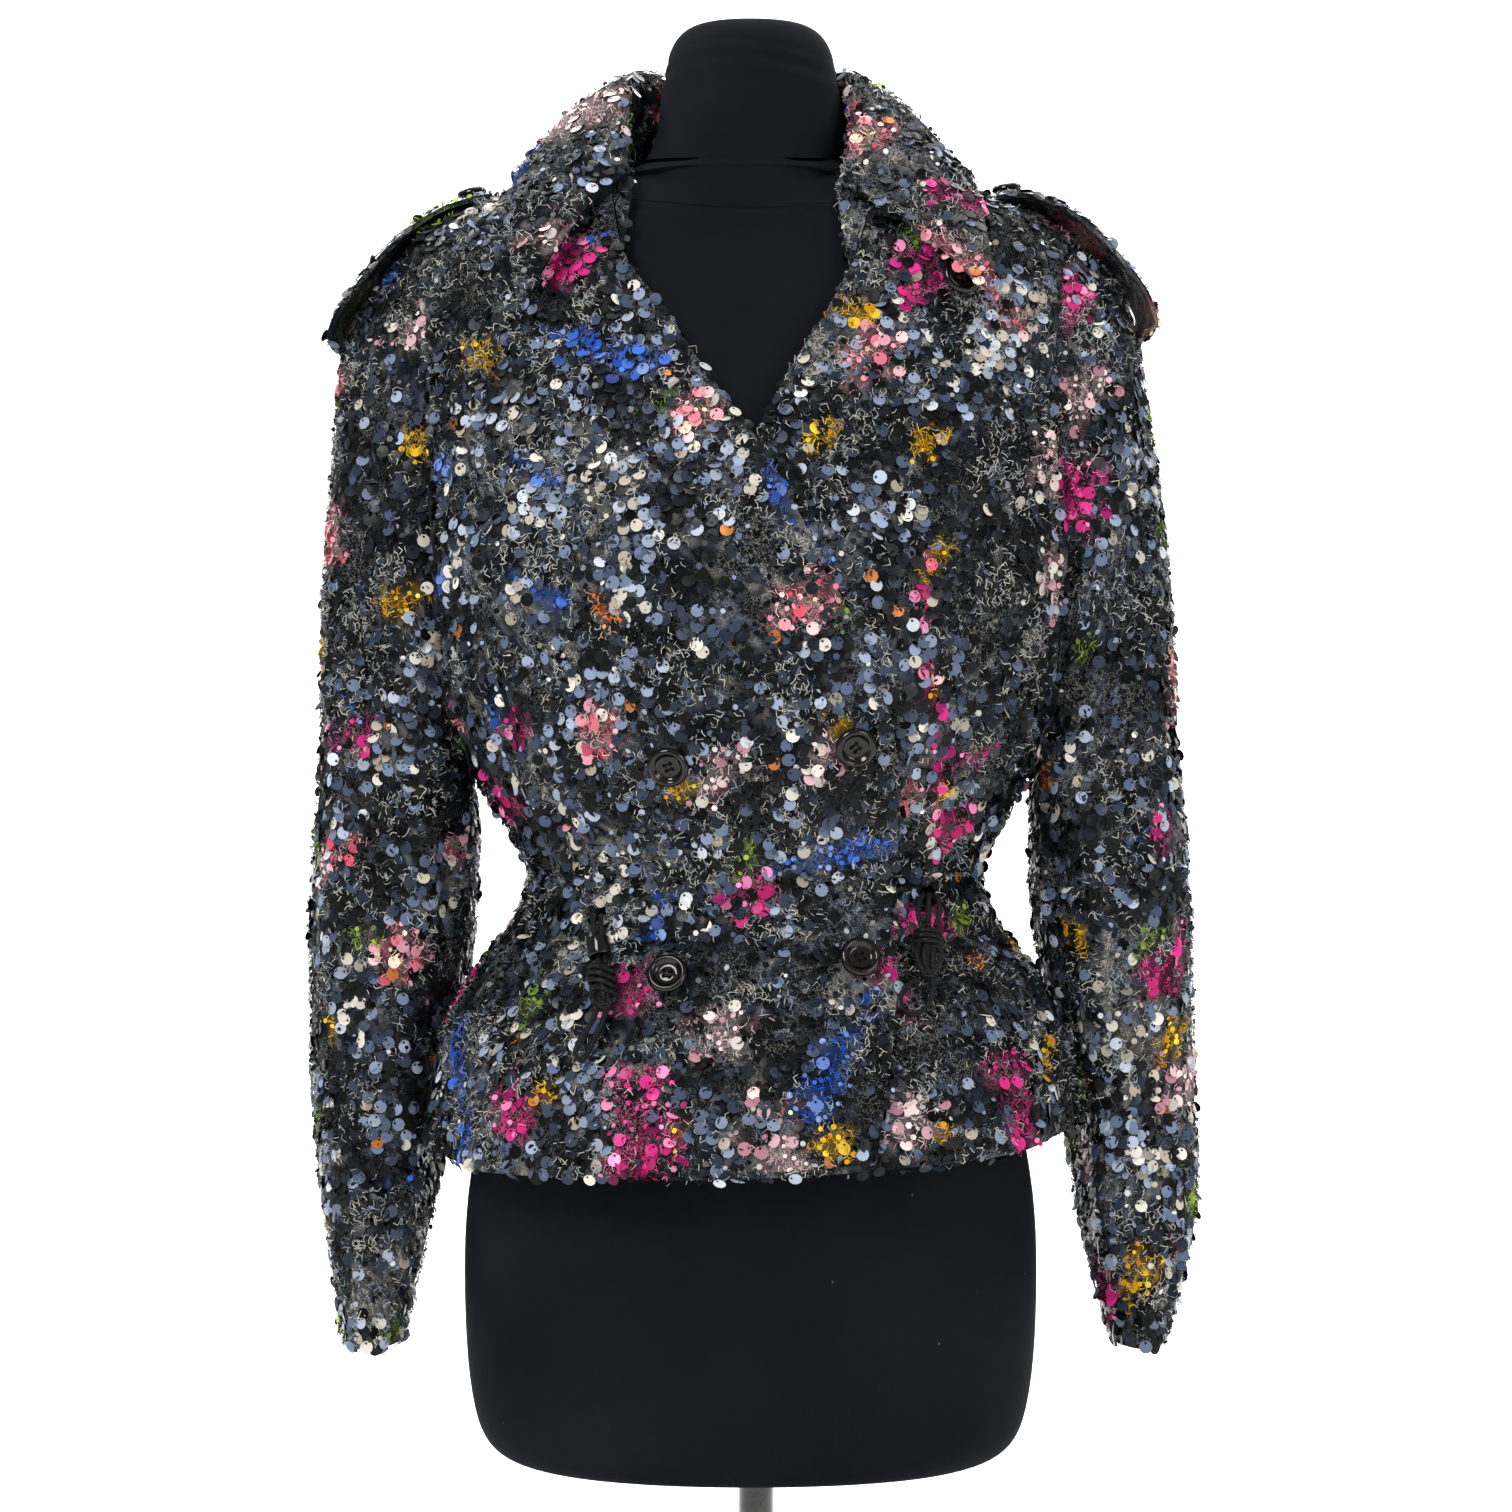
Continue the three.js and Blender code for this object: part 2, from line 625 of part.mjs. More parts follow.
// Heights of the armhole's points, the same ones on the body and on the sleeve
const armholeMiddle = (UNDERARM + SHOULDER_POINT) / 2;
const armholeReach = (SHOULDER_POINT - UNDERARM) / 2;
const armholeHeight = (step) => armholeMiddle - armholeReach * Math.cos((Math.PI * step) / ARMHOLE_STEPS);

const BODICE_START = [528 + HALF_GAP, 536, 546, 558, 573];
const BODICE_END = [890, 898, 905.3, 908, 912.5, NECK_TOP];
const FIRST_HALF_STEP = 3;
const LAST_HALF_STEP = 8;

// Rows of a bodice panel. A row marked between lies halfway between two armhole points.
function bodiceRows() {
  const rows = BODICE_START.map((z) => ({ z }));
  for (let step = 0; step <= ARMHOLE_STEPS; step += 1) {
    rows.push({ z: armholeHeight(step), step });
    if (step >= FIRST_HALF_STEP && step <= LAST_HALF_STEP) {
      rows.push({ z: (armholeHeight(step) + armholeHeight(step + 1)) / 2, between: true });
    }
  }
  return rows.concat(BODICE_END.map((z) => ({ z })));
}

// The angle of the panel's outer edge: side seam, armhole, then shoulder seam
function outerAngle(z, side) {
  if (z <= UNDERARM || z >= SHOULDER_POINT) return (side * Math.PI) / 2;
  return angleAt(middleAt(z) + side * armholeOut(z), z);
}

const turnFor = (gap, z) => gap / jacketHalf(z);

// One bodice panel, from its free edge or back seam out to its side
function bodicePanel(side, innerAngle, behind, columns, liftAt) {
  const lattice = bodiceRows().map(({ z }) => {
    const trimmed = z > UNDERARM && z < SHOULDER_POINT ? SEAM_GAP : HALF_GAP;
    const edge = outerAngle(z, side) - side * turnFor(trimmed, z);
    const end = behind ? side * Math.PI - edge : edge;
    const start = innerAngle(z);
    return Array.from({ length: columns + 1 }, (_, j) => {
      const angle = start + ((end - start) * j) / columns;
      const spot = clothPoint(angle, z, liftAt(jacketPoint(angle, z).x));
      return spot;
    });
  });
  bodiceRows().forEach((row, i) => {
    if (!row.between) return;
    const [below, above] = [lattice[i - 1].at(-1), lattice[i + 1].at(-1)];
    lattice[i][columns] = {
      point: below.point.clone().lerp(above.point, 0.5),
      normal: below.normal.clone().lerp(above.normal, 0.5).normalize(),
    };
  });
  return wall(lattice, CLOTH);
}

// The right front and its peplum are lifted over the left ones where they cross
const LIFT = CLOTH + LAYER_GAP;
const liftOver = (x) => LIFT * THREE.MathUtils.smoothstep(x, -108, -66);
const noLift = () => 0;

const backNeckAngle = (z, side) => {
  const share = z > BACK_NECK ? Math.sqrt((z - BACK_NECK) / (JACKET.at(-1).z - BACK_NECK)) : 0;
  const inward = angleAt(middleAt(z) + side * Math.max(NECK_HALF * share, HALF_GAP), z);
  return side * Math.PI - inward;
};

add("front_right", bodicePanel(-1, (z) => angleAt(overEdge(z), z), false, FRONT_COLUMNS, liftOver), "cloth");
add("front_left", bodicePanel(1, (z) => angleAt(underEdge(z), z), false, FRONT_COLUMNS, noLift), "cloth");
add("back_right", bodicePanel(-1, (z) => backNeckAngle(z, -1), true, BACK_COLUMNS, noLift), "cloth");
add("back_left", bodicePanel(1, (z) => backNeckAngle(z, 1), true, BACK_COLUMNS, noLift), "cloth");

// A band of cloth between two angles, its rows running from one height to another that follows the hem
function band(startAt, endAt, columns, rowCount, topZ, bottomAt, liftAt) {
  const lattice = Array.from({ length: rowCount + 1 }, (_, i) =>
    Array.from({ length: columns + 1 }, (_unused, j) => {
      const share = j / columns;
      const roughly = startAt(topZ) + (endAt(topZ) - startAt(topZ)) * share;
      const z = topZ + ((bottomAt(roughly) - topZ) * i) / rowCount;
      const angle = startAt(z) + (endAt(z) - startAt(z)) * share;
      return clothPoint(angle, z, liftAt(jacketPoint(angle, z).x));
    }),
  );
  return wall(lattice, CLOTH);
}

const casingBottom = () => CASING_BOTTOM + HALF_GAP;
const casingTop = CASING_TOP - HALF_GAP;
const backSeam = (side) => (z) => side * (Math.PI - turnFor(HALF_GAP, z));
const sideSeam = (side, step) => (z) => side * (Math.PI / 2 + step * turnFor(HALF_GAP, z));
const overStart = (z) => angleAt(overEdge(z), z);
const underStart = (z) => angleAt(underEdge(z), z);

function holeTool(exit) {
  const spot = clothPoint(angleAt(exit.x, exit.z), exit.z);
  const tool = new THREE.CylinderGeometry(CORD_HOLE_RADIUS, CORD_HOLE_RADIUS, 30, 14);
  tool.applyQuaternion(new THREE.Quaternion().setFromUnitVectors(new THREE.Vector3(0, 1, 0), spot.normal));
  tool.translate(spot.point.x, spot.point.y, spot.point.z);
  return tool;
}

const CASING_COLUMNS = 24;
const casingRight = band(overStart, backSeam(-1), CASING_COLUMNS, 2, casingTop, casingBottom, liftOver);
const casingLeft = band(underStart, backSeam(1), CASING_COLUMNS, 2, casingTop, casingBottom, noLift);
add("waist_casing_right", cut(casingRight, [holeTool(CORD_EXITS.right)]), "cloth");
add("waist_casing_left", cut(casingLeft, [holeTool(CORD_EXITS.left)]), "cloth");

// The hem hangs lowest at the front and on the right
const hemAt = (angle) => 385 - 10 * Math.cos(angle) + 8 * Math.sin(angle);
const PEPLUM_ROWS = 5;
const PEPLUM_FRONT_COLUMNS = 15;
const PEPLUM_BACK_COLUMNS = 22;
const peplumTop = CASING_BOTTOM - HALF_GAP;
const peplum = (start, end, columns, lift) => band(start, end, columns, PEPLUM_ROWS, peplumTop, hemAt, lift);
add("peplum_right", peplum(overStart, sideSeam(-1, -1), PEPLUM_FRONT_COLUMNS, liftOver), "cloth");
add("peplum_left", peplum(underStart, sideSeam(1, -1), PEPLUM_FRONT_COLUMNS, noLift), "cloth");
const backTurn = (z) => 2 * Math.PI - sideSeam(1, 1)(z);
add("peplum_back", peplum(sideSeam(1, 1), backTurn, PEPLUM_BACK_COLUMNS, noLift), "cloth");

// Sleeves. They hang outside the peplum, so a ring's points are pushed out past it.
const SLEEVE_CLEARANCE = 8;

function pushedOut(point, side) {
  const half = jacketHalf(point.z) + SLEEVE_CLEARANCE;
  const depth = (point.y < 0 ? jacketFront(point.z) : jacketBack(point.z)) + SLEEVE_CLEARANCE;
  const share = Math.min(Math.abs(point.y) / depth, 1) ** (1 / SQUARENESS);
  const edge = half * Math.sqrt(Math.max(1 - share * share, 0)) ** SQUARENESS;
  const out = side * (point.x - middleAt(point.z));
  if (point.z < UNDERARM - 60 && out < edge) point.x = middleAt(point.z) + side * edge;
  return point;
}

function foldAt(folds, turn, place) {
  return folds.reduce((sum, fold) => {
    const share = (place - fold.top) / (fold.end - fold.top);
    if (share <= 0 || share >= 1) return sum;
    const centre = fold.turn + fold.drift * share;
    const away = THREE.MathUtils.euclideanModulo(turn - centre + 180, 360) - 180;
    return sum + fold.depth * Math.sin(Math.PI * share) ** 0.8 * Math.exp(-((away / fold.wide) ** 2));
  }, 0);
}

// One ring of a sleeve or cuff, starting at its outer point and turning by the front to the inner point
function sleeveRing(columns, place, side, folds) {
  const own = side < 0 ? "right" : "left";
  const outer = new THREE.Vector3(side * columns[own + "Out"](place), columns.back(place), columns.outZ(place));
  const inner = new THREE.Vector3(side * columns[own + "In"](place), columns.back(place), columns.inZ(place));
  const middle = outer.clone().lerp(inner, 0.5);
  const reach = outer.clone().sub(middle);
  const ahead = new THREE.Vector3(0, -columns.deep(place), 0);
  return Array.from({ length: 2 * ARMHOLE_STEPS }, (_, j) => {
    const angle = (Math.PI * j) / ARMHOLE_STEPS;
    const offset = reach
      .clone()
      .multiplyScalar(power(Math.cos(angle), 0.94))
      .addScaledVector(ahead, power(Math.sin(angle), 0.94));
    const fold = foldAt(folds, THREE.MathUtils.radToDeg(angle), place);
    offset.addScaledVector(offset.clone().normalize(), fold);
    return pushedOut(middle.clone().add(offset), side);
  });
}

function columnsOf(table) {
  const rows = withIndex(table);
  const names = ["outZ", "inZ", "rightOut", "leftOut", "rightIn", "leftIn", "deep", "back"];
  return Object.fromEntries(names.map((name) => [name, curveOf(rows, name, "place")]));
}

const sleeveColumns = columnsOf(SLEEVE);
const cuffColumns = columnsOf(CUFF);

// The sleeve's first ring lies on the armhole itself, with the body's own normals
function armholeRing(side) {
  return Array.from({ length: 2 * ARMHOLE_STEPS }, (_, j) => {
    const behind = j > ARMHOLE_STEPS;
    const step = behind ? j - ARMHOLE_STEPS : ARMHOLE_STEPS - j;
    const z = armholeHeight(step);
    const ahead = outerAngle(z, side);
    return clothPoint(behind ? side * Math.PI - ahead : ahead, z);
  });
}

const ringCentre = (ring) =>
  ring.reduce((sum, point) => sum.add(point), new THREE.Vector3()).multiplyScalar(1 / ring.length);

function sleeve(side) {
  const folds = SLEEVE_FOLDS[side < 0 ? "right" : "left"];
  const seam = armholeRing(side);
  const rings = [seam.map((spot) => spot.point)];
  for (let i = 0; i < SLEEVE_RINGS; i += 1) {
    const place = ((SLEEVE.length - 1) * i) / (SLEEVE_RINGS - 1);
    rings.push(sleeveRing(sleeveColumns, place, side, folds));
  }
  const centres = rings.map(ringCentre);
  const lattice = withNormals(rings, (i) => centres[i], true);
  lattice[0] = seam;
  return wall(lattice, CLOTH, true);
}

function cuff(side) {
  const rings = CUFF.map((_, place) => sleeveRing(cuffColumns, place, side, []));
  const centres = rings.map(ringCentre);
  return wall(withNormals(rings, (i) => centres[i], true), CLOTH, true);
}

add("sleeve_right", sleeve(-1), "cloth");
add("sleeve_left", sleeve(1), "cloth");
add("cuff_right", cuff(-1), "cloth");
add("cuff_left", cuff(1), "cloth");

// Collar
const collarRows = withIndex(COLLAR);
const collarColumn = (name) => curveOf(collarRows, name, "place");
const collarFold = ["foldX", "foldY", "foldZ"].map(collarColumn);
const collarEdge = ["edgeX", "edgeY", "edgeZ"].map(collarColumn);
const collarPlace = (j) => ((COLLAR.length - 1) * j) / COLLAR_COLUMNS;
const pointOf = (curves, place) => new THREE.Vector3(...curves.map((curve) => curve(place)));
const NECK_AXIS = new THREE.Vector3(-9, 4, 0);
const ROLL_RADIUS = 3.4;
const FALL_CURVE = 7;
const ROLL = [
  { away: -1, down: 6 },
  { away: -0.85, down: 1.6 },
  { away: 0, down: 0 },
];
const FALL_SHARES = [0.08, 0.22, 0.42, 0.62, 0.82, 1];

// The way from the neck outwards at a place on the collar
function awayFromNeck(fold) {
  return new THREE.Vector3(fold.x - NECK_AXIS.x, fold.y - NECK_AXIS.y, 0).normalize();
}

function collarFall() {
  const rows = ROLL.length + FALL_SHARES.length;
  const lattice = Array.from({ length: rows }, () => []);
  for (let j = 0; j <= COLLAR_COLUMNS; j += 1) {
    const fold = pointOf(collarFold, collarPlace(j));
    const edge = pointOf(collarEdge, collarPlace(j));
    const away = awayFromNeck(fold);
    ROLL.forEach((step, i) => {
      const point = fold.clone().addScaledVector(away, ROLL_RADIUS * step.away);
      lattice[i].push(point.setZ(point.z - step.down));
    });
    FALL_SHARES.forEach((share, i) => {
      const point = fold.clone().lerp(edge, share);
      const bow = FALL_CURVE * Math.sin(Math.PI * Math.min(share * 1.1, 1)) * (1 - share * 0.4);
      point.addScaledVector(away, bow * 0.8).setZ(point.z + bow * 0.7);
      lattice[ROLL.length + i].push(point);
    });
  }
  const under = (i, j) => {
    const fold = pointOf(collarFold, collarPlace(j));
    const edge = pointOf(collarEdge, collarPlace(j));
    return fold.lerp(edge, 0.3).setZ(fold.z - 45);
  };
  return lattice.map((row, i) => {
    const inside = (k, j) => (i === 0 && k === 0 ? under(0, j) : under(k, j));
    return withNormals(lattice, inside)[i];
  });
}

// The neckline that the collar stand is sewn to, on the jacket's outer face
const FRONT_NECK_RIGHT = 864;
const FRONT_NECK_LEFT = 856;
function necklineAt(place) {
  const turn = place / (COLLAR.length - 1);
  const side = turn < 0.5 ? -1 : 1;
  const fromBack = Math.abs(turn - 0.5) * 2;
  const sideShare = 0.55;
  const top = JACKET.at(-1).z;
  if (fromBack > sideShare) {
    const low = side < 0 ? FRONT_NECK_RIGHT : FRONT_NECK_LEFT;
    const z = top + ((low - top) * (fromBack - sideShare)) / (1 - sideShare);
    return jacketPoint(angleAt(side < 0 ? overEdge(z) : underEdge(z), z), z);
  }
  const share = fromBack / sideShare;
  const z = BACK_NECK + (top - BACK_NECK) * share * share;
  return jacketPoint(side * Math.PI - angleAt(middleAt(z) + side * NECK_HALF * share, z), z);
}

const STAND_SHARES = [0, 0.35, 0.7, 1];
const NECK_SEAM_GAP = 0.8;

function collarStand() {
  const rows = STAND_SHARES.map((share) =>
    Array.from({ length: COLLAR_COLUMNS + 1 }, (_, j) => {
      const place = collarPlace(j);
      const fold = pointOf(collarFold, place);
      const away = awayFromNeck(fold);
      const top = fold.clone().addScaledVector(away, -ROLL_RADIUS * 1.0);
      top.z -= ROLL[0].down + SEAM_GAP + 0.3;
      const low = necklineAt(place);
      low.addScaledVector(away, -NECK_SEAM_GAP).setZ(low.z + NECK_SEAM_GAP);
      return low.lerp(top, share);
    }),
  );
  const axis = (i, j) => new THREE.Vector3(NECK_AXIS.x, NECK_AXIS.y, rows[i][j].z);
  return wall(withNormals(rows, axis), CLOTH);
}

add("collar_fall", wall(collarFall(), COLLAR_CLOTH), "cloth");
add("collar_stand", collarStand(), "cloth");

// Epaulettes: flat straps that lie over the shoulders, their long edges a little lower than their middle
function epaulette(line) {
  const rows = withIndex(line);
  const x = curveOf(rows, "x", "place");
  const z = curveOf(rows, "z", "place");
  const length = 12;
  const across = [-1, -0.55, 0, 0.55, 1];
  const point = (place, share) => {
    const tip = place > rows.length - 2 ? (place - rows.length + 2) * Math.abs(share) ** 2 * 8 : 0;
    return new THREE.Vector3(x(place), 2 + STRAP_HALF * share, z(place) - STRAP_ROLL * share * share + tip);
  };
  const lattice = Array.from({ length: length + 1 }, (_, i) =>
    across.map((share) => point(((rows.length - 1) * i) / length, share)),
  );
  const below = (i, j) => new THREE.Vector3(Math.sign(x(0)) * UNDER_STRAP.x, lattice[i][j].y, UNDER_STRAP.z);
  return wall(withNormals(lattice, below), STRAP_THICK);
}

add("epaulette_right", epaulette(EPAULETTE_RIGHT), "cloth");
add("epaulette_left", epaulette(EPAULETTE_LEFT), "cloth");

// A moulded button with a raised rim and a shallow dish
function buttonShape(radius, thick) {
  const profile = [
    [0, 0],
    [radius * 0.8, 0],
    [radius, thick * 0.35],
    [radius, thick * 0.65],
    [radius * 0.88, thick],
    [radius * 0.72, thick * 0.95],
    [radius * 0.56, thick * 0.55],
    [0, thick * 0.5],
  ].map(([across, up]) => new THREE.Vector2(across, up));
  return new THREE.LatheGeometry(profile, 14);
}

// Turns a shape that stands on Y = 0 to sit on the cloth at a place
function placeOn(geometry, spot, gap) {
  const turn = new THREE.Quaternion().setFromUnitVectors(new THREE.Vector3(0, 1, 0), spot.normal);
  geometry.applyQuaternion(turn);
  const seat = spot.point.clone().addScaledVector(spot.normal, gap);
  geometry.translate(seat.x, seat.y, seat.z);
  return geometry;
}

// Cloth rises and dips under a button, so it is seated on the highest cloth under its rim
const FACET_RISE = 0.8;

function seatOn(spot, x, z, radius, lift) {
  const rises = Array.from({ length: 12 }, (_, i) => {
    const turn = (Math.PI * i) / 6;
    const height = z + radius * Math.sin(turn);
    const angle = angleAt(x + radius * Math.cos(turn), height);
    return clothPoint(angle, height, lift).point.sub(spot.point).dot(spot.normal);
  });
  return Math.max(0, ...rises) + FACET_RISE;
}

function frontButton(name, x, z, lift) {
  const spot = clothPoint(angleAt(x, z), z, lift);
  const shape = buttonShape(BUTTON_RADIUS, BUTTON_THICK);
  add(name, placeOn(shape, spot, seatOn(spot, x, z, BUTTON_RADIUS * 0.8, lift)), "button");
}

BUTTONS.forEach((button) => frontButton(button.name, button.x, button.z, LIFT));
frontButton("button_collar", COLLAR_BUTTON.x, COLLAR_BUTTON.z, 0);

// A small button near the collar end of each epaulette
[
  ["button_epaulette_right", EPAULETTE_RIGHT],
  ["button_epaulette_left", EPAULETTE_LEFT],
].forEach(([name, line]) => {
  const [first, second] = line;
  const along = new THREE.Vector3(second.x - first.x, 0, second.z - first.z).normalize();
  const normal = new THREE.Vector3(-along.z, 0, along.x);
  if (normal.z < 0) normal.negate();
  const point = new THREE.Vector3((first.x + second.x) / 2, 2, (first.z + second.z) / 2);
  const shape = buttonShape(SMALL_BUTTON_RADIUS, 4);
  add(name, placeOn(shape, { point, normal }, SEAM_GAP * 1.6), "button");
});

// Drawcord strands and tails, their knots, and the bead on the right one
function cordTube(route) {
  const path = new THREE.CatmullRomCurve3(route.map((p) => new THREE.Vector3(...p)));
  const section = new THREE.Shape(
    Array.from({ length: CORD_SIDES }, (_, i) => {
      const turn = (2 * Math.PI * i) / CORD_SIDES;
      return new THREE.Vector2(CORD_RADIUS * Math.cos(turn), CORD_RADIUS * Math.sin(turn));
    }),
  );
  const steps = route.length > TAIL_POINTS ? TAIL_STEPS : STRAND_STEPS;
  return new THREE.ExtrudeGeometry(section, { steps, extrudePath: path });
}
Object.entries(CORDS).forEach(([name, route]) => add(name, cordTube(route), "cord"));

// Turns a shape from the Y axis to a given direction and moves it
function lieAlong(geometry, direction, middle) {
  const turn = new THREE.Quaternion().setFromUnitVectors(new THREE.Vector3(0, 1, 0), direction);
  geometry.applyQuaternion(turn);
  geometry.translate(middle.x, middle.y, middle.z);
  return geometry;
}

const KNOT_PROFILE = [
  { out: 0, along: -1 },
  { out: 0.62, along: -1 },
  { out: 0.9, along: -0.8 },
  { out: 0.8, along: -0.56 },
  { out: 1, along: -0.3 },
  { out: 0.86, along: 0 },
  { out: 1, along: 0.3 },
  { out: 0.8, along: 0.56 },
  { out: 0.9, along: 0.8 },
  { out: 0.62, along: 1 },
  { out: 0, along: 1 },
];
Object.entries(KNOTS).forEach(([name, knot]) => {
  const top = new THREE.Vector3(...knot.top);
  const bottom = new THREE.Vector3(...knot.bottom);
  const half = top.distanceTo(bottom) / 2;
  const profile = KNOT_PROFILE.map((step) => new THREE.Vector2(KNOT_RADIUS * step.out, half * step.along));
  const shape = new THREE.LatheGeometry(profile, 10);
  shape.scale(knot.wide, 1, knot.deep);
  const direction = top.clone().sub(bottom).normalize();
  add(name, lieAlong(shape, direction, top.lerp(bottom, 0.5)), "cord");
});

const beadProfile = [
  [BEAD.hole, -BEAD.height / 2],
  [BEAD.radius - 0.8, -BEAD.height / 2],
  [BEAD.radius, -BEAD.height / 2 + 0.8],
  [BEAD.radius, BEAD.height / 2 - 0.8],
  [BEAD.radius - 0.8, BEAD.height / 2],
  [BEAD.hole, BEAD.height / 2],
  [BEAD.hole, -BEAD.height / 2],
].map(([across, up]) => new THREE.Vector2(across, up));
const beadLine = new THREE.Vector3(...BEAD.along).normalize();
const bead = lieAlong(new THREE.LatheGeometry(beadProfile, 12), beadLine, new THREE.Vector3(...BEAD.at));
add("cord_bead", bead, "button");

// Dress form
const formTable = FORM.concat(
  JACKET.filter((row) => row.z > SHOULDER_POINT && row.z < JACKET.at(-1).z).map((row) => ({
    z: row.z - SHOULDER_DROP,
    half: row.half,
    front: row.front - 9,
    back: row.back - 14,
  })),
  FORM_NECK,
);
const formHalf = curveOf(formTable, "half");
const formFront = curveOf(formTable, "front");
const formBack = curveOf(formTable, "back");
const formLean = curveOf(
  [
    { z: 200, x: FORM_CENTRE },
    { z: 780, x: FORM_CENTRE },
    { z: 880, x: -8 },
    { z: 920, x: -8 },
    { z: 936, x: FORM_CENTRE },
    { z: 1002, x: FORM_CENTRE },
  ],
  "x",
);
const FORM_COLUMNS = 24;

function formPoint(angle, z) {
  const cosine = Math.cos(angle);
  const depth = cosine > 0 ? formFront(z) : formBack(z);
  return new THREE.Vector3(
    formLean(z) + formHalf(z) * power(Math.sin(angle), SQUARENESS),
    -depth * power(cosine, SQUARENESS),
    z,
  );
}

// The seam between torso and neck cap dips at the throat and climbs at the nape
const NECK_SEAM_SIDE = 926;
const NECK_SEAM_DIP = 6;
const neckSeam = (angle) => NECK_SEAM_SIDE - NECK_SEAM_DIP * Math.cos(angle);
const formAngle = (j) => (2 * Math.PI * j) / FORM_COLUMNS;
const formRing = (heightAt) =>
  Array.from({ length: FORM_COLUMNS }, (_, j) => formPoint(formAngle(j), heightAt(formAngle(j))));

const TORSO_LEVEL = 865;
const TORSO_ENDS = [200, 203, 209, 222, 255, 305, 350, 400, 450];
const TORSO_HEIGHTS = TORSO_ENDS.concat([490, 528, 570, 620, 670, 710, 760, 810, 845]);
const SHOULDER_SHARES = [0, 0.25, 0.42, 0.58, 0.72, 0.84, 0.87, 0.93, 1];
const torsoRings = TORSO_HEIGHTS.map((z) => formRing(() => z)).concat(
  SHOULDER_SHARES.map((share) =>
    formRing((angle) => TORSO_LEVEL + (neckSeam(angle) - HALF_GAP - TORSO_LEVEL) * share),
  ),
);
add("form_torso", solidRings(torsoRings), "jersey");

const CAP_SHARES = [0, 0.14, 0.34, 0.56, 0.76, 0.88, 0.96, 1];
const capTop = FORM_NECK.at(-1).z;
const capRings = CAP_SHARES.map((share) =>
  formRing((angle) => neckSeam(angle) + HALF_GAP + (capTop - neckSeam(angle) - HALF_GAP) * share),
);
add("form_neck_cap", solidRings(capRings), "jersey");

// Stand
const baseProfile = [
  [0, 0],
  [BASE_RADIUS - 2, 0],
  [BASE_RADIUS, 2],
  [BASE_RADIUS, BASE_THICK - 4],
  [BASE_RADIUS - 5, BASE_THICK],
  [0, BASE_THICK],
].map(([across, up]) => new THREE.Vector2(across, up));
const base = new THREE.LatheGeometry(baseProfile, 30);
base.rotateX(Math.PI / 2);
add("stand_base", base, "stand");

const poleHeight = FORM_BOTTOM - BASE_THICK - 2 * SEAM_GAP;
const pole = new THREE.CylinderGeometry(POLE_RADIUS, POLE_RADIUS, poleHeight, 18);
pole.rotateX(Math.PI / 2);
pole.translate(0, 0, BASE_THICK + SEAM_GAP + poleHeight / 2);
add("stand_pole", pole, "stand");

part.position.x = ORIGIN_SHIFT;

export default part;
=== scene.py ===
import json
import math

import bpy
import numpy as np
from bpy.props import FloatProperty, FloatVectorProperty, PointerProperty
from mathutils import Matrix, Vector
from mathutils.bvhtree import BVHTree
from mathutils.kdtree import KDTree

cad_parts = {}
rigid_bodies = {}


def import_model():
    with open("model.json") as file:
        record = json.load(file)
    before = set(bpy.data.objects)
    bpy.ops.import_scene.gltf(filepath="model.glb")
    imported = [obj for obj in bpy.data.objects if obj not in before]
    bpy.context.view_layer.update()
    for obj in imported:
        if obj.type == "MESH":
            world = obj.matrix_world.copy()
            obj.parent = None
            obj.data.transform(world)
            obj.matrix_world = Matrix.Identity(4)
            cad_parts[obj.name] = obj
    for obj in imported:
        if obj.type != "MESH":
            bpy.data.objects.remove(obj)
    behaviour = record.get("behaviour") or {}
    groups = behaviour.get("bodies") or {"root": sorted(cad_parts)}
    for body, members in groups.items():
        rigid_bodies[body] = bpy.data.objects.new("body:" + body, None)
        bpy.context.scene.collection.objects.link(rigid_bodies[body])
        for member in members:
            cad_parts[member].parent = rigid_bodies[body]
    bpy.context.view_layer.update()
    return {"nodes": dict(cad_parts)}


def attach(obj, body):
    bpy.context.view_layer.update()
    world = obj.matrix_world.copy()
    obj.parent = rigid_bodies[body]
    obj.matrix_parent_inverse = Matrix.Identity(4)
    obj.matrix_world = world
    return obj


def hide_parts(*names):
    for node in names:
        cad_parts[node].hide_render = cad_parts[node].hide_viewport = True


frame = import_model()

bl_info = {
    "name": "Utility jacket on a dress form",
    "version": (1, 0, 0),
    "blender": (4, 5, 0),
    "location": "View3D > Sidebar > Jacket",
    "description": "A sequined utility jacket with drawcord waist on a black dress form",
    "category": "Object",
}

SEED = 4117
MM = 0.001
MIDDLE_X = 0.00192
FORM_X = MIDDLE_X - 0.003
UP, FRONT = Vector((0, 0, 1)), Vector((0, -1, 0))


# Colours


def linear(code):
    """An sRGB hex colour as linear red, green and blue."""
    parts = [((code >> shift) & 255) / 255 for shift in (16, 8, 0)]
    return tuple(p / 12.92 if p <= 0.04045 else ((p + 0.055) / 1.055) ** 2.4 for p in parts)


def colour_prop(name, description, code):
    return FloatVectorProperty(
        name=name, description=description, default=linear(code), size=3, min=0, max=1, subtype="COLOR"
    )


def length_prop(name, description, metres):
    return FloatProperty(name=name, description=description, default=metres, min=0.0001, unit="LENGTH")


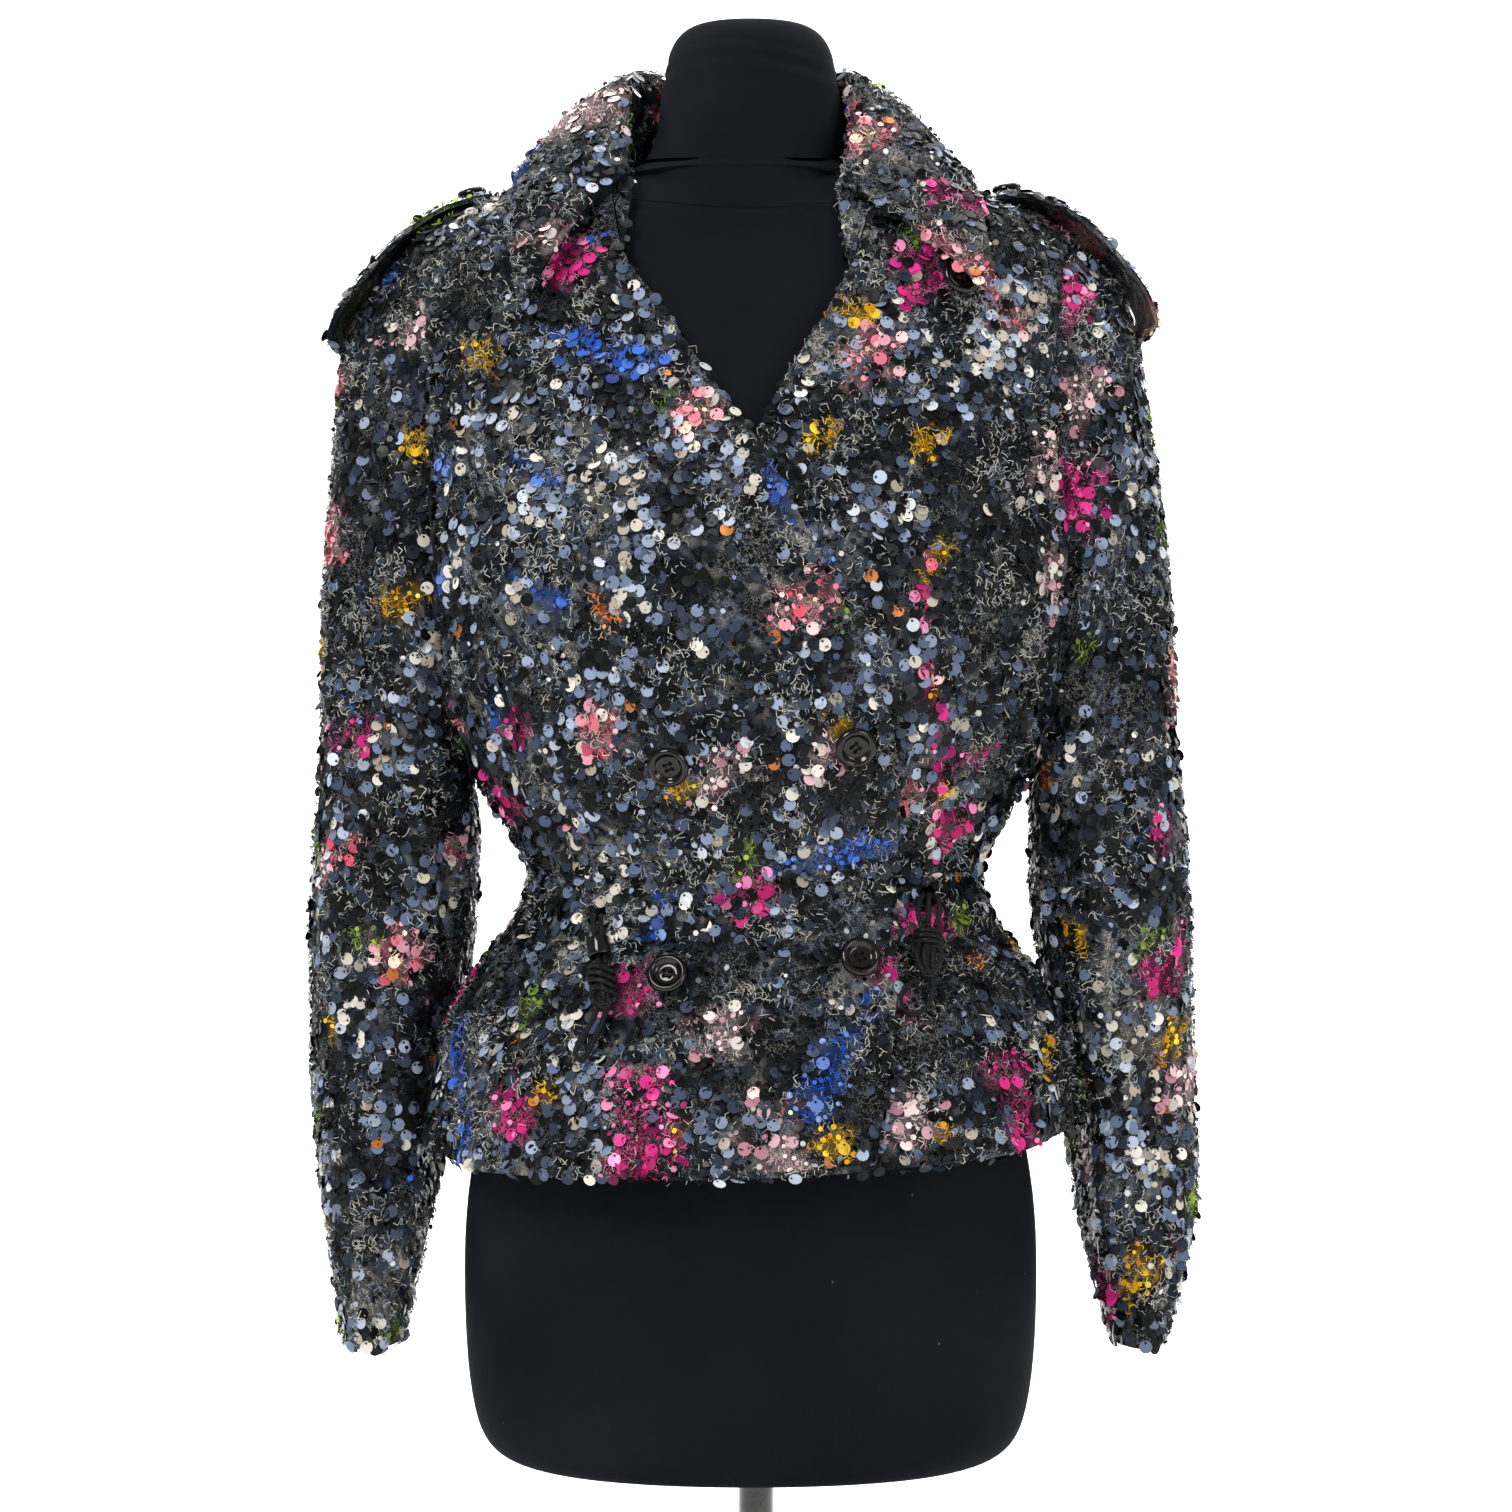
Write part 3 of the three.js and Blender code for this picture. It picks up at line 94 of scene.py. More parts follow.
class JacketSizes(bpy.types.PropertyGroup):
    disc: length_prop("Disc sequin", "Diameter of a flat disc sequin", 0.0072)
    disc_spacing: length_prop("Disc spacing", "Least distance between two disc sequins", 0.0043)
    cup: length_prop("Cup sequin", "Diameter of a small cup sequin", 0.0031)
    cup_spacing: length_prop("Cup spacing", "Least distance between two cup sequins", 0.0034)
    stitch: length_prop("Stitch", "Length of a thread stitch", 0.0042)
    thread: length_prop("Thread", "Width of the embroidery thread", 0.00038)
    cord: length_prop("Drawcord", "Diameter of the elastic drawcord", 0.003)
    crease: length_prop("Crease", "Depth of a common crease in the cloth", 0.0026)


class JacketColours(bpy.types.PropertyGroup):
    ground: colour_prop("Net", "The net under the sequins", 0x0D1115)
    jersey: colour_prop("Jersey", "The dress form's cotton jersey", 0x0D0F12)
    button: colour_prop("Buttons", "Moulded buttons", 0x0B0706)
    cord: colour_prop("Cord", "Elastic drawcord", 0x060607)
    enamel: colour_prop("Enamel", "Pole and base", 0x070707)
    floor: colour_prop("Floor", "Studio floor", 0xF7F7F6)


# Small helpers


def sizes():
    return bpy.context.scene.jacket_sizes


def colours():
    return bpy.context.scene.jacket_colours


def deselect():
    for o in bpy.context.selected_objects:
        o.select_set(False)


def activate(obj):
    deselect()
    obj.select_set(True)
    bpy.context.view_layer.objects.active = obj


def apply_modifiers(obj):
    activate(obj)
    for modifier in list(obj.modifiers):
        bpy.ops.object.modifier_apply(modifier=modifier.name)


def link(name, data):
    obj = bpy.data.objects.new(name, data)
    bpy.context.scene.collection.objects.link(obj)
    return obj


def settle(obj, material, slot, *nodes):
    """Gives a finished piece its material and the root body, and hides the CAD nodes that it stands for. The
    slot is not used.
    """
    obj.data.materials.clear()
    obj.data.materials.append(material)
    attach(obj, "root")
    if nodes:
        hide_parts(*nodes)


def set_mode(mode):
    bpy.ops.object.mode_set(mode=mode)


def edit_chosen(obj, kind, wanted):
    """Goes into edit mode with only the wanted edges or faces of a mesh selected."""
    set_mode("EDIT")
    bpy.ops.mesh.select_mode(type=kind)
    bpy.ops.mesh.select_all(action="DESELECT")
    set_mode("OBJECT")
    for part in obj.data.edges if kind == "EDGE" else obj.data.polygons:
        part.select = wanted(part)
    set_mode("EDIT")


def smooth_by_angle(obj, degrees):
    activate(obj)
    bpy.ops.object.shade_smooth_by_angle(angle=math.radians(degrees))


def drill(obj, radius, depth, segments, place=(0, 0, 0)):
    """Cuts a round hole through a piece along Z."""
    bpy.ops.mesh.primitive_cylinder_add(vertices=segments, radius=radius, depth=depth, location=place)
    tool = bpy.context.active_object
    cut = obj.modifiers.new("hole", "BOOLEAN")
    cut.object = tool
    cut.operation = "DIFFERENCE"
    apply_modifiers(obj)
    bpy.data.objects.remove(tool)


# Shader helpers

SHADER_INPUTS = {
    "colour": "Base Color",
    "rough": "Roughness",
    "specular": "Specular IOR Level",
    "metallic": "Metallic",
    "coat": "Coat Weight",
    "coat_rough": "Coat Roughness",
    "sheen": "Sheen Weight",
    "sheen_tint": "Sheen Tint",
    "normal": "Normal",
}


def rgba(colour):
    return (*colour, 1.0)


def paint(code):
    return rgba(linear(code))


def set_inputs(tree, node, inputs):
    """Sets a node's constant inputs and links the others."""
    for socket, value in inputs.items():
        if isinstance(value, bpy.types.NodeSocket):
            tree.links.new(value, node.inputs[socket])
        else:
            node.inputs[socket].default_value = value


def add_node(tree, kind, inputs=None, **settings):
    """Adds a shader node with its settings, its constant inputs and its links."""
    made = tree.nodes.new(kind)
    for name, value in settings.items():
        setattr(made, name, value)
    set_inputs(tree, made, inputs or {})
    return made


def new_material(name):
    made = bpy.data.materials.new(name)
    made.use_nodes = True
    return made, made.node_tree


def set_shader(made, **inputs):
    """Gives a material's shader its inputs, by their short names."""
    tree = made.node_tree
    named = {SHADER_INPUTS[name]: value for name, value in inputs.items()}
    set_inputs(tree, tree.nodes["Principled BSDF"], named)
    return made


def blend_colours(tree, share, first, second):
    """Mixes two colours by a share."""
    return add_node(tree, "ShaderNodeMix", {0: share, 6: first, 7: second}, data_type="RGBA").outputs[2]


def ramp(tree, value, low, high, start=0.0, end=1.0):
    """A value taken from one range to another and kept in it."""
    inputs = {"Value": value, "From Min": low, "From Max": high, "To Min": start, "To Max": end}
    return add_node(tree, "ShaderNodeMapRange", inputs, clamp=True).outputs["Result"]


def maths(tree, operation, first, second=0.0):
    return add_node(tree, "ShaderNodeMath", {0: first, 1: second}, operation=operation).outputs[0]


def distance(tree, place, point):
    inputs = {0: place, 1: point}
    return add_node(tree, "ShaderNodeVectorMath", inputs, operation="DISTANCE").outputs["Value"]


def bump(tree, height, strength, depth, below=None):
    inputs = {"Height": height, "Strength": strength, "Distance": depth}
    if below is not None:
        inputs["Normal"] = below
    return add_node(tree, "ShaderNodeBump", inputs).outputs["Normal"]


def object_place(tree):
    return add_node(tree, "ShaderNodeTexCoord").outputs["Object"]


def object_noise(tree, size, detail=2.0, rough=0.5):
    """Noise whose lumps are about size metres, from the Object coordinates."""
    inputs = {"Vector": object_place(tree), "Scale": 1 / size, "Detail": detail, "Roughness": rough}
    return add_node(tree, "ShaderNodeTexNoise", inputs).outputs["Fac"]


def bands(tree, direction, scale, distortion, detail, detail_scale=1.0):
    """Wavy bands along one direction of the Object coordinates."""
    inputs = {
        "Vector": object_place(tree),
        "Scale": scale,
        "Distortion": distortion,
        "Detail": detail,
        "Detail Scale": detail_scale,
    }
    return add_node(tree, "ShaderNodeTexWave", inputs, bands_direction=direction).outputs["Fac"]


def stored_tint(tree):
    """The colour and the chance value that a mesh carries."""
    stored = add_node(tree, "ShaderNodeAttribute", attribute_name="tint")
    return stored.outputs["Color"], stored.outputs["Alpha"]


# Materials, each named for the real one


def net_material():
    """Black net, matt, with a tangle of fine threads that takes the colour of the flowers on it."""
    made, tree = new_material("black_embroidered_net")
    tint, _ = stored_tint(tree)
    tangle = object_noise(tree, 0.0024, 3.0, 0.6)
    # fine lines run where the noise passes through its middle
    away = maths(tree, "ABSOLUTE", maths(tree, "SUBTRACT", tangle, 0.5))
    line = ramp(tree, away, 0.012, 0.03, 1.0, 0.0)
    patch = ramp(tree, object_noise(tree, 0.03), 0.38, 0.62)
    dark = blend_colours(tree, 0.16, rgba(colours().ground), tint)
    thread = blend_colours(tree, 0.5, paint(0xA8A396), tint)
    colour = blend_colours(tree, maths(tree, "MULTIPLY", line, patch), dark, thread)
    fine = bump(tree, object_noise(tree, 0.0011), 0.5, 0.0004)
    normal = bump(tree, line, 0.6, 0.0004, fine)
    return set_shader(made, colour=colour, rough=0.9, specular=0.06, normal=normal)


def disc_material():
    """Flat disc sequin: satin plastic with a pierced hole and a hair-thin painted highlight round its rim; a
    few are metallic.
    """
    made, tree = new_material("satin_disc_sequin")
    tint, chance = stored_tint(tree)
    place = add_node(tree, "ShaderNodeUVMap", uv_map="disc").outputs["UV"]
    middle = distance(tree, place, (0.5, 0.5, 0.0))
    hole = distance(tree, place, (0.5, 0.8, 0.0))
    # rim is a painted highlight: a paler ring round each disc's edge; worn is a faint random paling of the
    # plastic
    rim = ramp(tree, middle, 0.45, 0.49, 0.0, 0.03)
    worn = ramp(tree, object_noise(tree, 0.002), 0.3, 0.7, 0.0, 0.006)
    worn_and_highlighted = blend_colours(tree, maths(tree, "ADD", rim, worn), tint, paint(0xE9E8E4))
    darker = blend_colours(tree, ramp(tree, hole, 0.1, 0.15, 0.35, 0.0), worn_and_highlighted, paint(0x101215))
    return set_shader(
        made,
        colour=blend_colours(tree, ramp(tree, hole, 0.075, 0.095, 1.0, 0.0), darker, paint(0x060606)),
        rough=ramp(tree, chance, 0.0, 1.0, 0.2, 0.5),
        metallic=ramp(tree, chance, 0.95, 0.98, 0.0, 0.85),
        specular=0.1,
        coat=0.05,
        coat_rough=0.12,
        normal=bump(tree, ramp(tree, middle, 0.1, 0.5, 1.0, 0.0), 0.5, 0.0005),
    )


def cup_material():
    """Small cup sequin: glossy faceted foil that glints."""
    made, tree = new_material("glossy_cup_sequin")
    tint, chance = stored_tint(tree)
    return set_shader(
        made,
        colour=tint,
        rough=ramp(tree, chance, 0.0, 1.0, 0.12, 0.4),
        metallic=ramp(tree, chance, 0.6, 0.95, 0.0, 0.5),
        specular=0.22,
        normal=bump(tree, object_noise(tree, 0.0012), 0.3, 0.0003),
    )


def thread_material():
    """Embroidery floss: matt twisted cotton with a soft sheen."""
    made, tree = new_material("embroidery_floss")
    tint, _ = stored_tint(tree)
    twist = object_noise(tree, 0.0007)
    colour = blend_colours(tree, ramp(tree, twist, 0.3, 0.7, 0.25, 0.0), tint, paint(0x0A0A0A))
    normal = bump(tree, twist, 0.4, 0.0003)
    return set_shader(made, colour=colour, rough=0.8, specular=0.06, sheen=0.03, normal=normal)


def jersey_material():
    """Black cotton jersey drawn tight over a padded form: fine ribs, a slight blue sheen and some lint."""
    made, tree = new_material("black_cotton_jersey")
    knit = bands(tree, "X", 320.0, 1.2, 1.0, 2.0)
    cloud = ramp(tree, object_noise(tree, 0.12), 0.3, 0.7, 0.0, 0.3)
    specks = add_node(tree, "ShaderNodeTexVoronoi", {"Vector": object_place(tree), "Scale": 140.0})
    near = ramp(tree, specks.outputs["Distance"], 0.05, 0.09, 1.0, 0.0)
    chosen = add_node(tree, "ShaderNodeSeparateColor", {"Color": specks.outputs["Color"]}).outputs[0]
    lint = maths(tree, "MULTIPLY", near, ramp(tree, chosen, 0.955, 0.96))
    base = blend_colours(tree, cloud, rgba(colours().jersey), paint(0x22252B))
    fine = bump(tree, object_noise(tree, 0.0013), 0.35, 0.0003)
    return set_shader(
        made,
        colour=blend_colours(tree, maths(tree, "MULTIPLY", lint, 0.4), base, paint(0x8E8C88)),
        rough=0.9,
        specular=0.05,
        sheen=0.012,
        sheen_tint=paint(0x6A7690),
        normal=bump(tree, knit, 0.3, 0.0002, fine),
    )


def button_material():
    """Moulded resin button: glossy black with a brown cast, lightly scratched."""
    made, tree = new_material("glossy_dark_resin")
    swirl = ramp(tree, object_noise(tree, 0.006, 3.0), 0.35, 0.65)
    scratch = object_noise(tree, 0.0015)
    return set_shader(
        made,
        colour=blend_colours(tree, swirl, rgba(colours().button), paint(0x0E0908)),
        rough=ramp(tree, scratch, 0.3, 0.8, 0.04, 0.14),
        specular=0.2,
        coat=0.4,
        coat_rough=0.04,
        normal=bump(tree, scratch, 0.08, 0.0002),
    )


def cord_material():
    """Braided black elastic: satin yarn with a fine diagonal braid."""
    made, tree = new_material("braided_black_elastic")
    braid = bands(tree, "DIAGONAL", 260.0, 1.5, 1.0)
    shade = ramp(tree, braid, 0.2, 0.8, 0.0, 0.5)
    colour = blend_colours(tree, shade, rgba(colours().cord), paint(0x17181A))
    normal = bump(tree, braid, 0.6, 0.0003)
    return set_shader(made, colour=colour, rough=0.36, specular=0.16, sheen=0.03, normal=normal)


def enamel_material():
    """Black enamelled steel: glossy, with faint rings drawn round it and a little dust."""
    made, tree = new_material("black_enamelled_steel")
    dust = ramp(tree, object_noise(tree, 0.02, 4.0), 0.45, 0.75, 0.0, 0.12)
    return set_shader(
        made,
        colour=blend_colours(tree, dust, rgba(colours().enamel), paint(0x6B6B69)),
        rough=ramp(tree, object_noise(tree, 0.004), 0.3, 0.7, 0.12, 0.3),
        coat=0.4,
        normal=bump(tree, bands(tree, "Z", 55.0, 2.5, 2.0), 0.12, 0.0004),
    )


def floor_material():
    """Pale painted studio floor and wall."""
    made, tree = new_material("pale_studio_paint")
    cloud = ramp(tree, object_noise(tree, 0.8), 0.3, 0.7, 0.0, 0.1)
    return set_shader(
        made, colour=blend_colours(tree, cloud, rgba(colours().floor), paint(0xEDEDEC)), rough=0.9
    )


_made = {}


def material(kind):
    """Each material is made once."""
    makers = {
        "net": net_material,
        "disc": disc_material,
        "cup": cup_material,
        "thread": thread_material,
        "jersey": jersey_material,
        "button": button_material,
        "cord": cord_material,
        "enamel": enamel_material,
        "floor": floor_material,
    }
    if kind not in _made:
        _made[kind] = makers[kind]()
    return _made[kind]


# Stage


CAMERA_PLACE = (MIDDLE_X, -2.0, 0.5935)
CAMERA_LENS = 85.04
WORLD_STRENGTH = 0.38
FLOOR_SIZE, WALL_HEIGHT, WALL_BEND = 7.2, 4.5, 1.3
AIM = (0, 0, 0.62)
# Lights: where each stands, what it points at, its width in metres and its power in watts
LIGHTS = {
    "key_light": ((-1.3, -2.1, 2.3), AIM, 1.1, 60),
    "fill_light": ((1.8, -2.0, 1.3), AIM, 1.2, 26),
    "top_light": ((0.1, 0.3, 2.6), AIM, 1.2, 24),
    "back_light": ((0.7, 2.2, 1.9), AIM, 1.5, 30),
    "wall_light_right": ((-1.5, 0.9, 2.6), (-0.8, 3.2, 0.8), 1.2, 90),
    "wall_light_left": ((1.5, 0.9, 2.6), (0.8, 3.2, 0.8), 1.2, 90),
}


class JACKET_OT_stage(bpy.types.Operator):
    """Puts in the camera, the lights and the pale floor"""

    bl_idname = "jacket.stage"
    bl_label = "Stage"

    def execute(self, context):
        data = bpy.data.cameras.new("photo_camera")
        data.lens = CAMERA_LENS
        data.sensor_width = 36
        data.clip_end = 50
        camera = link("photo_camera", data)
        camera.location = CAMERA_PLACE
        camera.rotation_euler = (math.pi / 2, 0, 0)
        context.scene.camera = camera
        context.scene.view_settings.view_transform = "Standard"
        context.scene.view_settings.look = "None"

        deselect()
        bpy.ops.mesh.primitive_plane_add(size=FLOOR_SIZE, location=(0, -0.4, 0))
        floor = context.active_object
        floor.name = "studio_floor"
        bpy.ops.object.transform_apply(location=True)

        def ends(edge):
            return [floor.data.vertices[v].co for v in edge.vertices]

        edit_chosen(floor, "EDGE", lambda edge: all(p.y > 0 for p in ends(edge)))
        bpy.ops.mesh.extrude_region_move(TRANSFORM_OT_translate={"value": (0, 0, WALL_HEIGHT)})
        set_mode("OBJECT")
        edit_chosen(floor, "EDGE", lambda edge: all(p.y > 0 and p.z < 0.01 for p in ends(edge)))
        bpy.ops.mesh.bevel(offset=WALL_BEND, segments=16, affect="EDGES")
        set_mode("OBJECT")
        bpy.ops.object.shade_smooth()
        floor.data.materials.append(material("floor"))

        world = bpy.data.worlds.new("studio")
        world.use_nodes = True
        context.scene.world = world
        inputs = {"Color": (1, 1, 1, 1), "Strength": WORLD_STRENGTH}
        set_inputs(world.node_tree, world.node_tree.nodes["Background"], inputs)
        for name, (place, target, size, power) in LIGHTS.items():
            data = bpy.data.lights.new(name, "AREA")
            data.shape = "SQUARE"
            data.size = size
            data.energy = power
            light = link(name, data)
            light.location = place
            light.rotation_euler = (Vector(target) - Vector(place)).to_track_quat("-Z", "Y").to_euler()
        return {"FINISHED"}


# Drawcords. Each strand leaves a hole in the waist casing and ends in a knot.
# A looped tail hangs from each knot. Route points are in millimetres.

CORD_ROUTES = {
    "cord_right_outer": (
        (-86.9, -81, 507.5), (-86.9, -87, 507.4), (-86.8, -92.4, 505.2), (-86.4, -95.6, 500.4),
        (-85.6, -97.4, 494.5), (-84.4, -100.2, 488.2), (-83.4, -103.6, 483),
    ),
    "cord_right_inner": (
        (-83.1, -81.5, 507.5), (-83.1, -87, 507.4), (-83, -92.4, 505.2), (-82.6, -95.6, 500.4),
        (-81.9, -97.4, 494.5), (-80.9, -100.2, 488.2), (-80, -103.6, 483),
    ),
    "tail_right": (
        (-78.9, -116.6, 461), (-80.6, -119.4, 454), (-84.0, -121, 447), (-87.0, -122.2, 441),
        (-89.2, -122.8, 436.2), (-92.0, -123, 433.6), (-94.8, -122.8, 436.2), (-93.8, -122.2, 441.4),
        (-90.2, -121, 447.4), (-86.4, -119.6, 454), (-83.4, -116.8, 461),
    ),
    "cord_left_outer": (
        (96.5, -65.5, 518), (96.6, -73.4, 518), (97.8, -79.6, 516.6), (98.6, -83, 511.6),
        (97.6, -85.2, 506), (96, -87.6, 502.2),
    ),
    "cord_left_middle": (
        (93.2, -66.5, 518.4), (93.2, -74.4, 518.4), (92.9, -81, 517), (92.6, -84.6, 511.6),
        (92.4, -86, 506), (92.3, -87.6, 502.2),
    ),
    "cord_left_inner": (
        (90, -68, 518), (89.8, -76, 518), (88.2, -81.4, 516.2), (87, -84.6, 511.6), (87.6, -86.2, 506),
        (88.8, -87.8, 502.2), (89.6, -88.6, 500.6),
    ),
    "tail_left": (
        (94, -99.6, 474.8), (94, -103, 468.6), (91.6, -106.6, 462.4), (87.4, -109.2, 458.2),
        (82, -109.8, 457), (77.6, -108.6, 460), (76.6, -105.8, 465.4), (79.4, -102.6, 470.6),
        (83.2, -101, 473.2), (87.3, -100.5, 474),
    ),
}
# Points for each stretch of a route and for each turn of a wrap, and half the cord in millimetres
CORD_STEPS, WRAP_STEPS = 6, 18
HALF_CORD = 1.5

# Knots: top, bottom, half width, depth as a share of it, turns of the wrap, where it ends, and its tilt
KNOTS = {
    "knot_right": ((-81.7, -104.1, 482.2), (-80.2, -116.6, 459.6), 8.6, 0.72, 3.6, 0.74, 0.55),
    "knot_left": ((92.3, -88, 501.4), (91.2, -99.2, 475.8), 8.9, 0.76, 3.2, 0.50, 0.12),
}
# The loose bights below a knot's wrap: where each starts and ends across it, and how far it swings out
BIGHTS = ((-0.75, -0.2, -0.9), (-0.25, 0.35, -0.3), (0.3, 0.6, 0.45), (0.8, 0.1, 1.05))
# The bead on the right cord: place, way along it, half widths outside and in its hole, and length
BEAD = ((-83.6, -98.7, 491.6), (-1.1, 3, 6.6), 6.4, 4.0, 10.5)


def framed(point):
    """A route point in millimetres, as metres in the row's frame."""
    return Vector(point) * MM + Vector((MIDDLE_X, 0, 0))


def smooth_route(points, steps):
    """A centripetal Catmull-Rom curve through the points."""
    knots = [points[0] * 2 - points[1], *points, points[-1] * 2 - points[-2]]
    line = []
    for i in range(1, len(knots) - 2):
        before, a, b, after = knots[i - 1 : i + 3]
        spans = [max((q - p).length, 1e-9) ** 0.5 for p, q in ((before, a), (a, b), (b, after))]
        leave = (a - before) / spans[0] - (b - before) / (spans[0] + spans[1]) + (b - a) / spans[1]
        arrive = (b - a) / spans[1] - (after - a) / (spans[1] + spans[2]) + (after - b) / spans[2]
        leave, arrive = leave * spans[1], arrive * spans[1]
        for j in range(steps):
            t = j / steps
            line.append(
                a
                + leave * t
                + (b * 3 - a * 3 - leave * 2 - arrive) * t**2
                + (a * 2 - b * 2 + leave + arrive) * t**3
            )
    return [*line, points[-1]]


def tube(name, line, radius):
    """A round cord along a line of points, with closed ends."""
    data = bpy.data.curves.new(name, "CURVE")
    data.dimensions = "3D"
    data.bevel_depth = radius
    data.bevel_resolution = 3
    data.use_fill_caps = True
    spline = data.splines.new("POLY")
    spline.points.add(len(line) - 1)
    for point, place in zip(spline.points, line):
        point.co = (*place, 1)
    return link(name, data)


def knot_axes(top, bottom):
    """The way down a knot, across it and out of it."""
    down = (bottom - top).normalized()
    ahead = down.cross(Vector((1, 0, 0))).normalized()
    return down, ahead.cross(down).normalized(), ahead


def wrap_line(top, bottom, swing, depth, turns, end, tilt):
    """The line of a cord that winds down round itself, fuller in the middle than at its ends."""
    top, bottom = framed(top), framed(bottom)
    down, across, ahead = knot_axes(top, bottom)
    count = int(turns * WRAP_STEPS)
    line = []
    for i in range(count + 1):
        share = i / count
        turn = 2 * math.pi * turns * share
        reach = (swing - HALF_CORD) * MM * (0.84 + 0.16 * math.sin(math.pi * share))
        inset = (bottom - top).length * (0.08 + (end - 0.16) * share)
        line.append(
            top
            + down * (inset + tilt * reach * math.cos(turn))
            + across * reach * math.cos(turn)
            + ahead * reach * depth * math.sin(turn)
        )
    return line


def bight_line(top, bottom, swing, depth, end, start_across, end_across, bulge):
    """The line of a slack bight that comes out under the wrap, swings out and ends at the knot's foot."""
    top, bottom = framed(top), framed(bottom)
    _, across, ahead = knot_axes(top, bottom)
    reach = (swing - HALF_CORD) * MM
    face = -1 if ahead.y > 0 else 1
    stops = (
        (end - 0.16, start_across * 0.8, 0.35),
        (end + 0.06, (start_across + bulge) * 0.5, 0.75),
        ((end + 1) * 0.5, bulge * 0.8, 0.85),
        (0.88, (bulge + end_across) * 0.42, 0.7),
        (1.0, end_across * 0.5, 0.25),
    )
    points = [
        top.lerp(bottom, along) + across * reach * side + ahead * face * reach * depth * out
        for along, side, out in stops
    ]
    return smooth_route(points, 5)


class JACKET_OT_cords(bpy.types.Operator):
    """Makes the drawcord's strands, knots and looped tails, and the bead on the right one"""

    bl_idname = "jacket.cords"
    bl_label = "Drawcords"

    def execute(self, context):
        radius = sizes().cord / 2
        pieces = {}
        for name, (top, bottom, swing, depth, turns, end, tilt) in KNOTS.items():
            wrap = tube(f"{name}_wrap", wrap_line(top, bottom, swing, depth, turns, end, tilt), radius)
            settle(wrap, material("cord"), "cord", name)
            pieces[name] = [wrap]
            for i, (start, stop, bulge) in enumerate(BIGHTS):
                line = bight_line(top, bottom, swing, depth, end, start, stop, bulge)
                bight = tube(f"{name}_bight_{i}", line, radius)
                settle(bight, material("cord"), "cord")
                pieces[name].append(bight)
            upper, lower = framed(top), framed(bottom)
            core = tube(f"{name}_core", [upper.lerp(lower, 0.03), upper.lerp(lower, 0.97)], swing * 0.5 * MM)
            settle(core, material("cord"), "cord")
            pieces[name].append(core)

        place, along, outer, inner, height = BEAD
        deselect()
        bpy.ops.mesh.primitive_cylinder_add(vertices=36, radius=outer * MM, depth=height * MM)
        bead = context.active_object
        bead.name = "drawcord_bead"
        drill(bead, inner * MM, 2 * height * MM, 24)
        soften = bead.modifiers.new("soft_edges", "BEVEL")
        soften.width = 0.0009
        soften.segments = 3
        apply_modifiers(bead)
        turn = UP.rotation_difference(Vector(along).normalized()).to_matrix().to_4x4()
        bead.data.transform(Matrix.Translation(framed(place)) @ turn)
        smooth_by_angle(bead, 40)
        settle(bead, material("button"), "button", "cord_bead")
        pieces["cord_bead"] = [bead]

        for name, route in CORD_ROUTES.items():
            line = smooth_route([framed(p) for p in route], CORD_STEPS)
            strand = tube(f"{name}_strand", line, radius)
            settle(strand, material("cord"), "cord", name)
        return {"FINISHED"}


# Shells: a fine smooth copy of each cloth or jersey solid


WELD = 0.00002
FLAT_ANGLE, QUAD_ANGLE, RIM_ANGLE, SMOOTH_ANGLE = 38, 50, 48, 50


def shell_of(name, piece_name, levels):
    """A smooth copy of a CAD node at its own place, its rims kept sharp."""
    source = frame["nodes"][name]
    mesh = source.data.copy()
    mesh.transform(source.matrix_world)
    obj = link(piece_name, mesh)
    mesh.materials.clear()
    for layer in list(mesh.uv_layers):
        mesh.uv_layers.remove(layer)
    activate(obj)
    set_mode("EDIT")
    bpy.ops.mesh.select_all(action="SELECT")
    bpy.ops.mesh.customdata_custom_splitnormals_clear()
    bpy.ops.mesh.remove_doubles(threshold=WELD)
    bpy.ops.mesh.tris_convert_to_quads(
        face_threshold=math.radians(FLAT_ANGLE), shape_threshold=math.radians(QUAD_ANGLE)
    )
    bpy.ops.mesh.select_all(action="DESELECT")
    bpy.ops.mesh.select_mode(type="EDGE")
    bpy.ops.mesh.edges_select_sharp(sharpness=math.radians(RIM_ANGLE))
    bpy.ops.transform.edge_crease(value=1.0)
    set_mode("OBJECT")
    smooth = obj.modifiers.new("smooth", "SUBSURF")
    smooth.levels = levels
    smooth.render_levels = levels
    apply_modifiers(obj)
    smooth_by_angle(obj, SMOOTH_ANGLE)
    return obj


def coordinates(mesh):
    found = np.empty(len(mesh.vertices) * 3)
    mesh.vertices.foreach_get("co", found)
    return found.reshape(-1, 3)


def set_coordinates(mesh, places):
    mesh.vertices.foreach_set("co", places.ravel())
    mesh.update()


def lengths(vectors, least=0.0):
    return np.maximum(np.linalg.norm(vectors, axis=1), least)


def unit(vectors):
    return vectors / lengths(vectors, 1e-9)[:, None]


def bell(away, width):
    """One soft hump, 1 at its middle and about 0 two widths off."""
    return np.exp(-((away / width) ** 2))


def centre_line(places):
    """The middle of a tube of cloth at each height, from its points."""
    heights = np.linspace(places[:, 2].min(), places[:, 2].max(), 24)
    reach = (heights[1] - heights[0]) * 1.2
    near = [places[np.abs(places[:, 2] - z) < reach] for z in heights]
    low, high = (np.array([edge(p[:, :2], axis=0) for p in near]) for edge in (np.min, np.max))
    return heights, (low + high) / 2


SLEEVE_HEAD, SHOULDER = 0.80, 0.84
STRAP_MIDDLE = (0.19, 0.818)


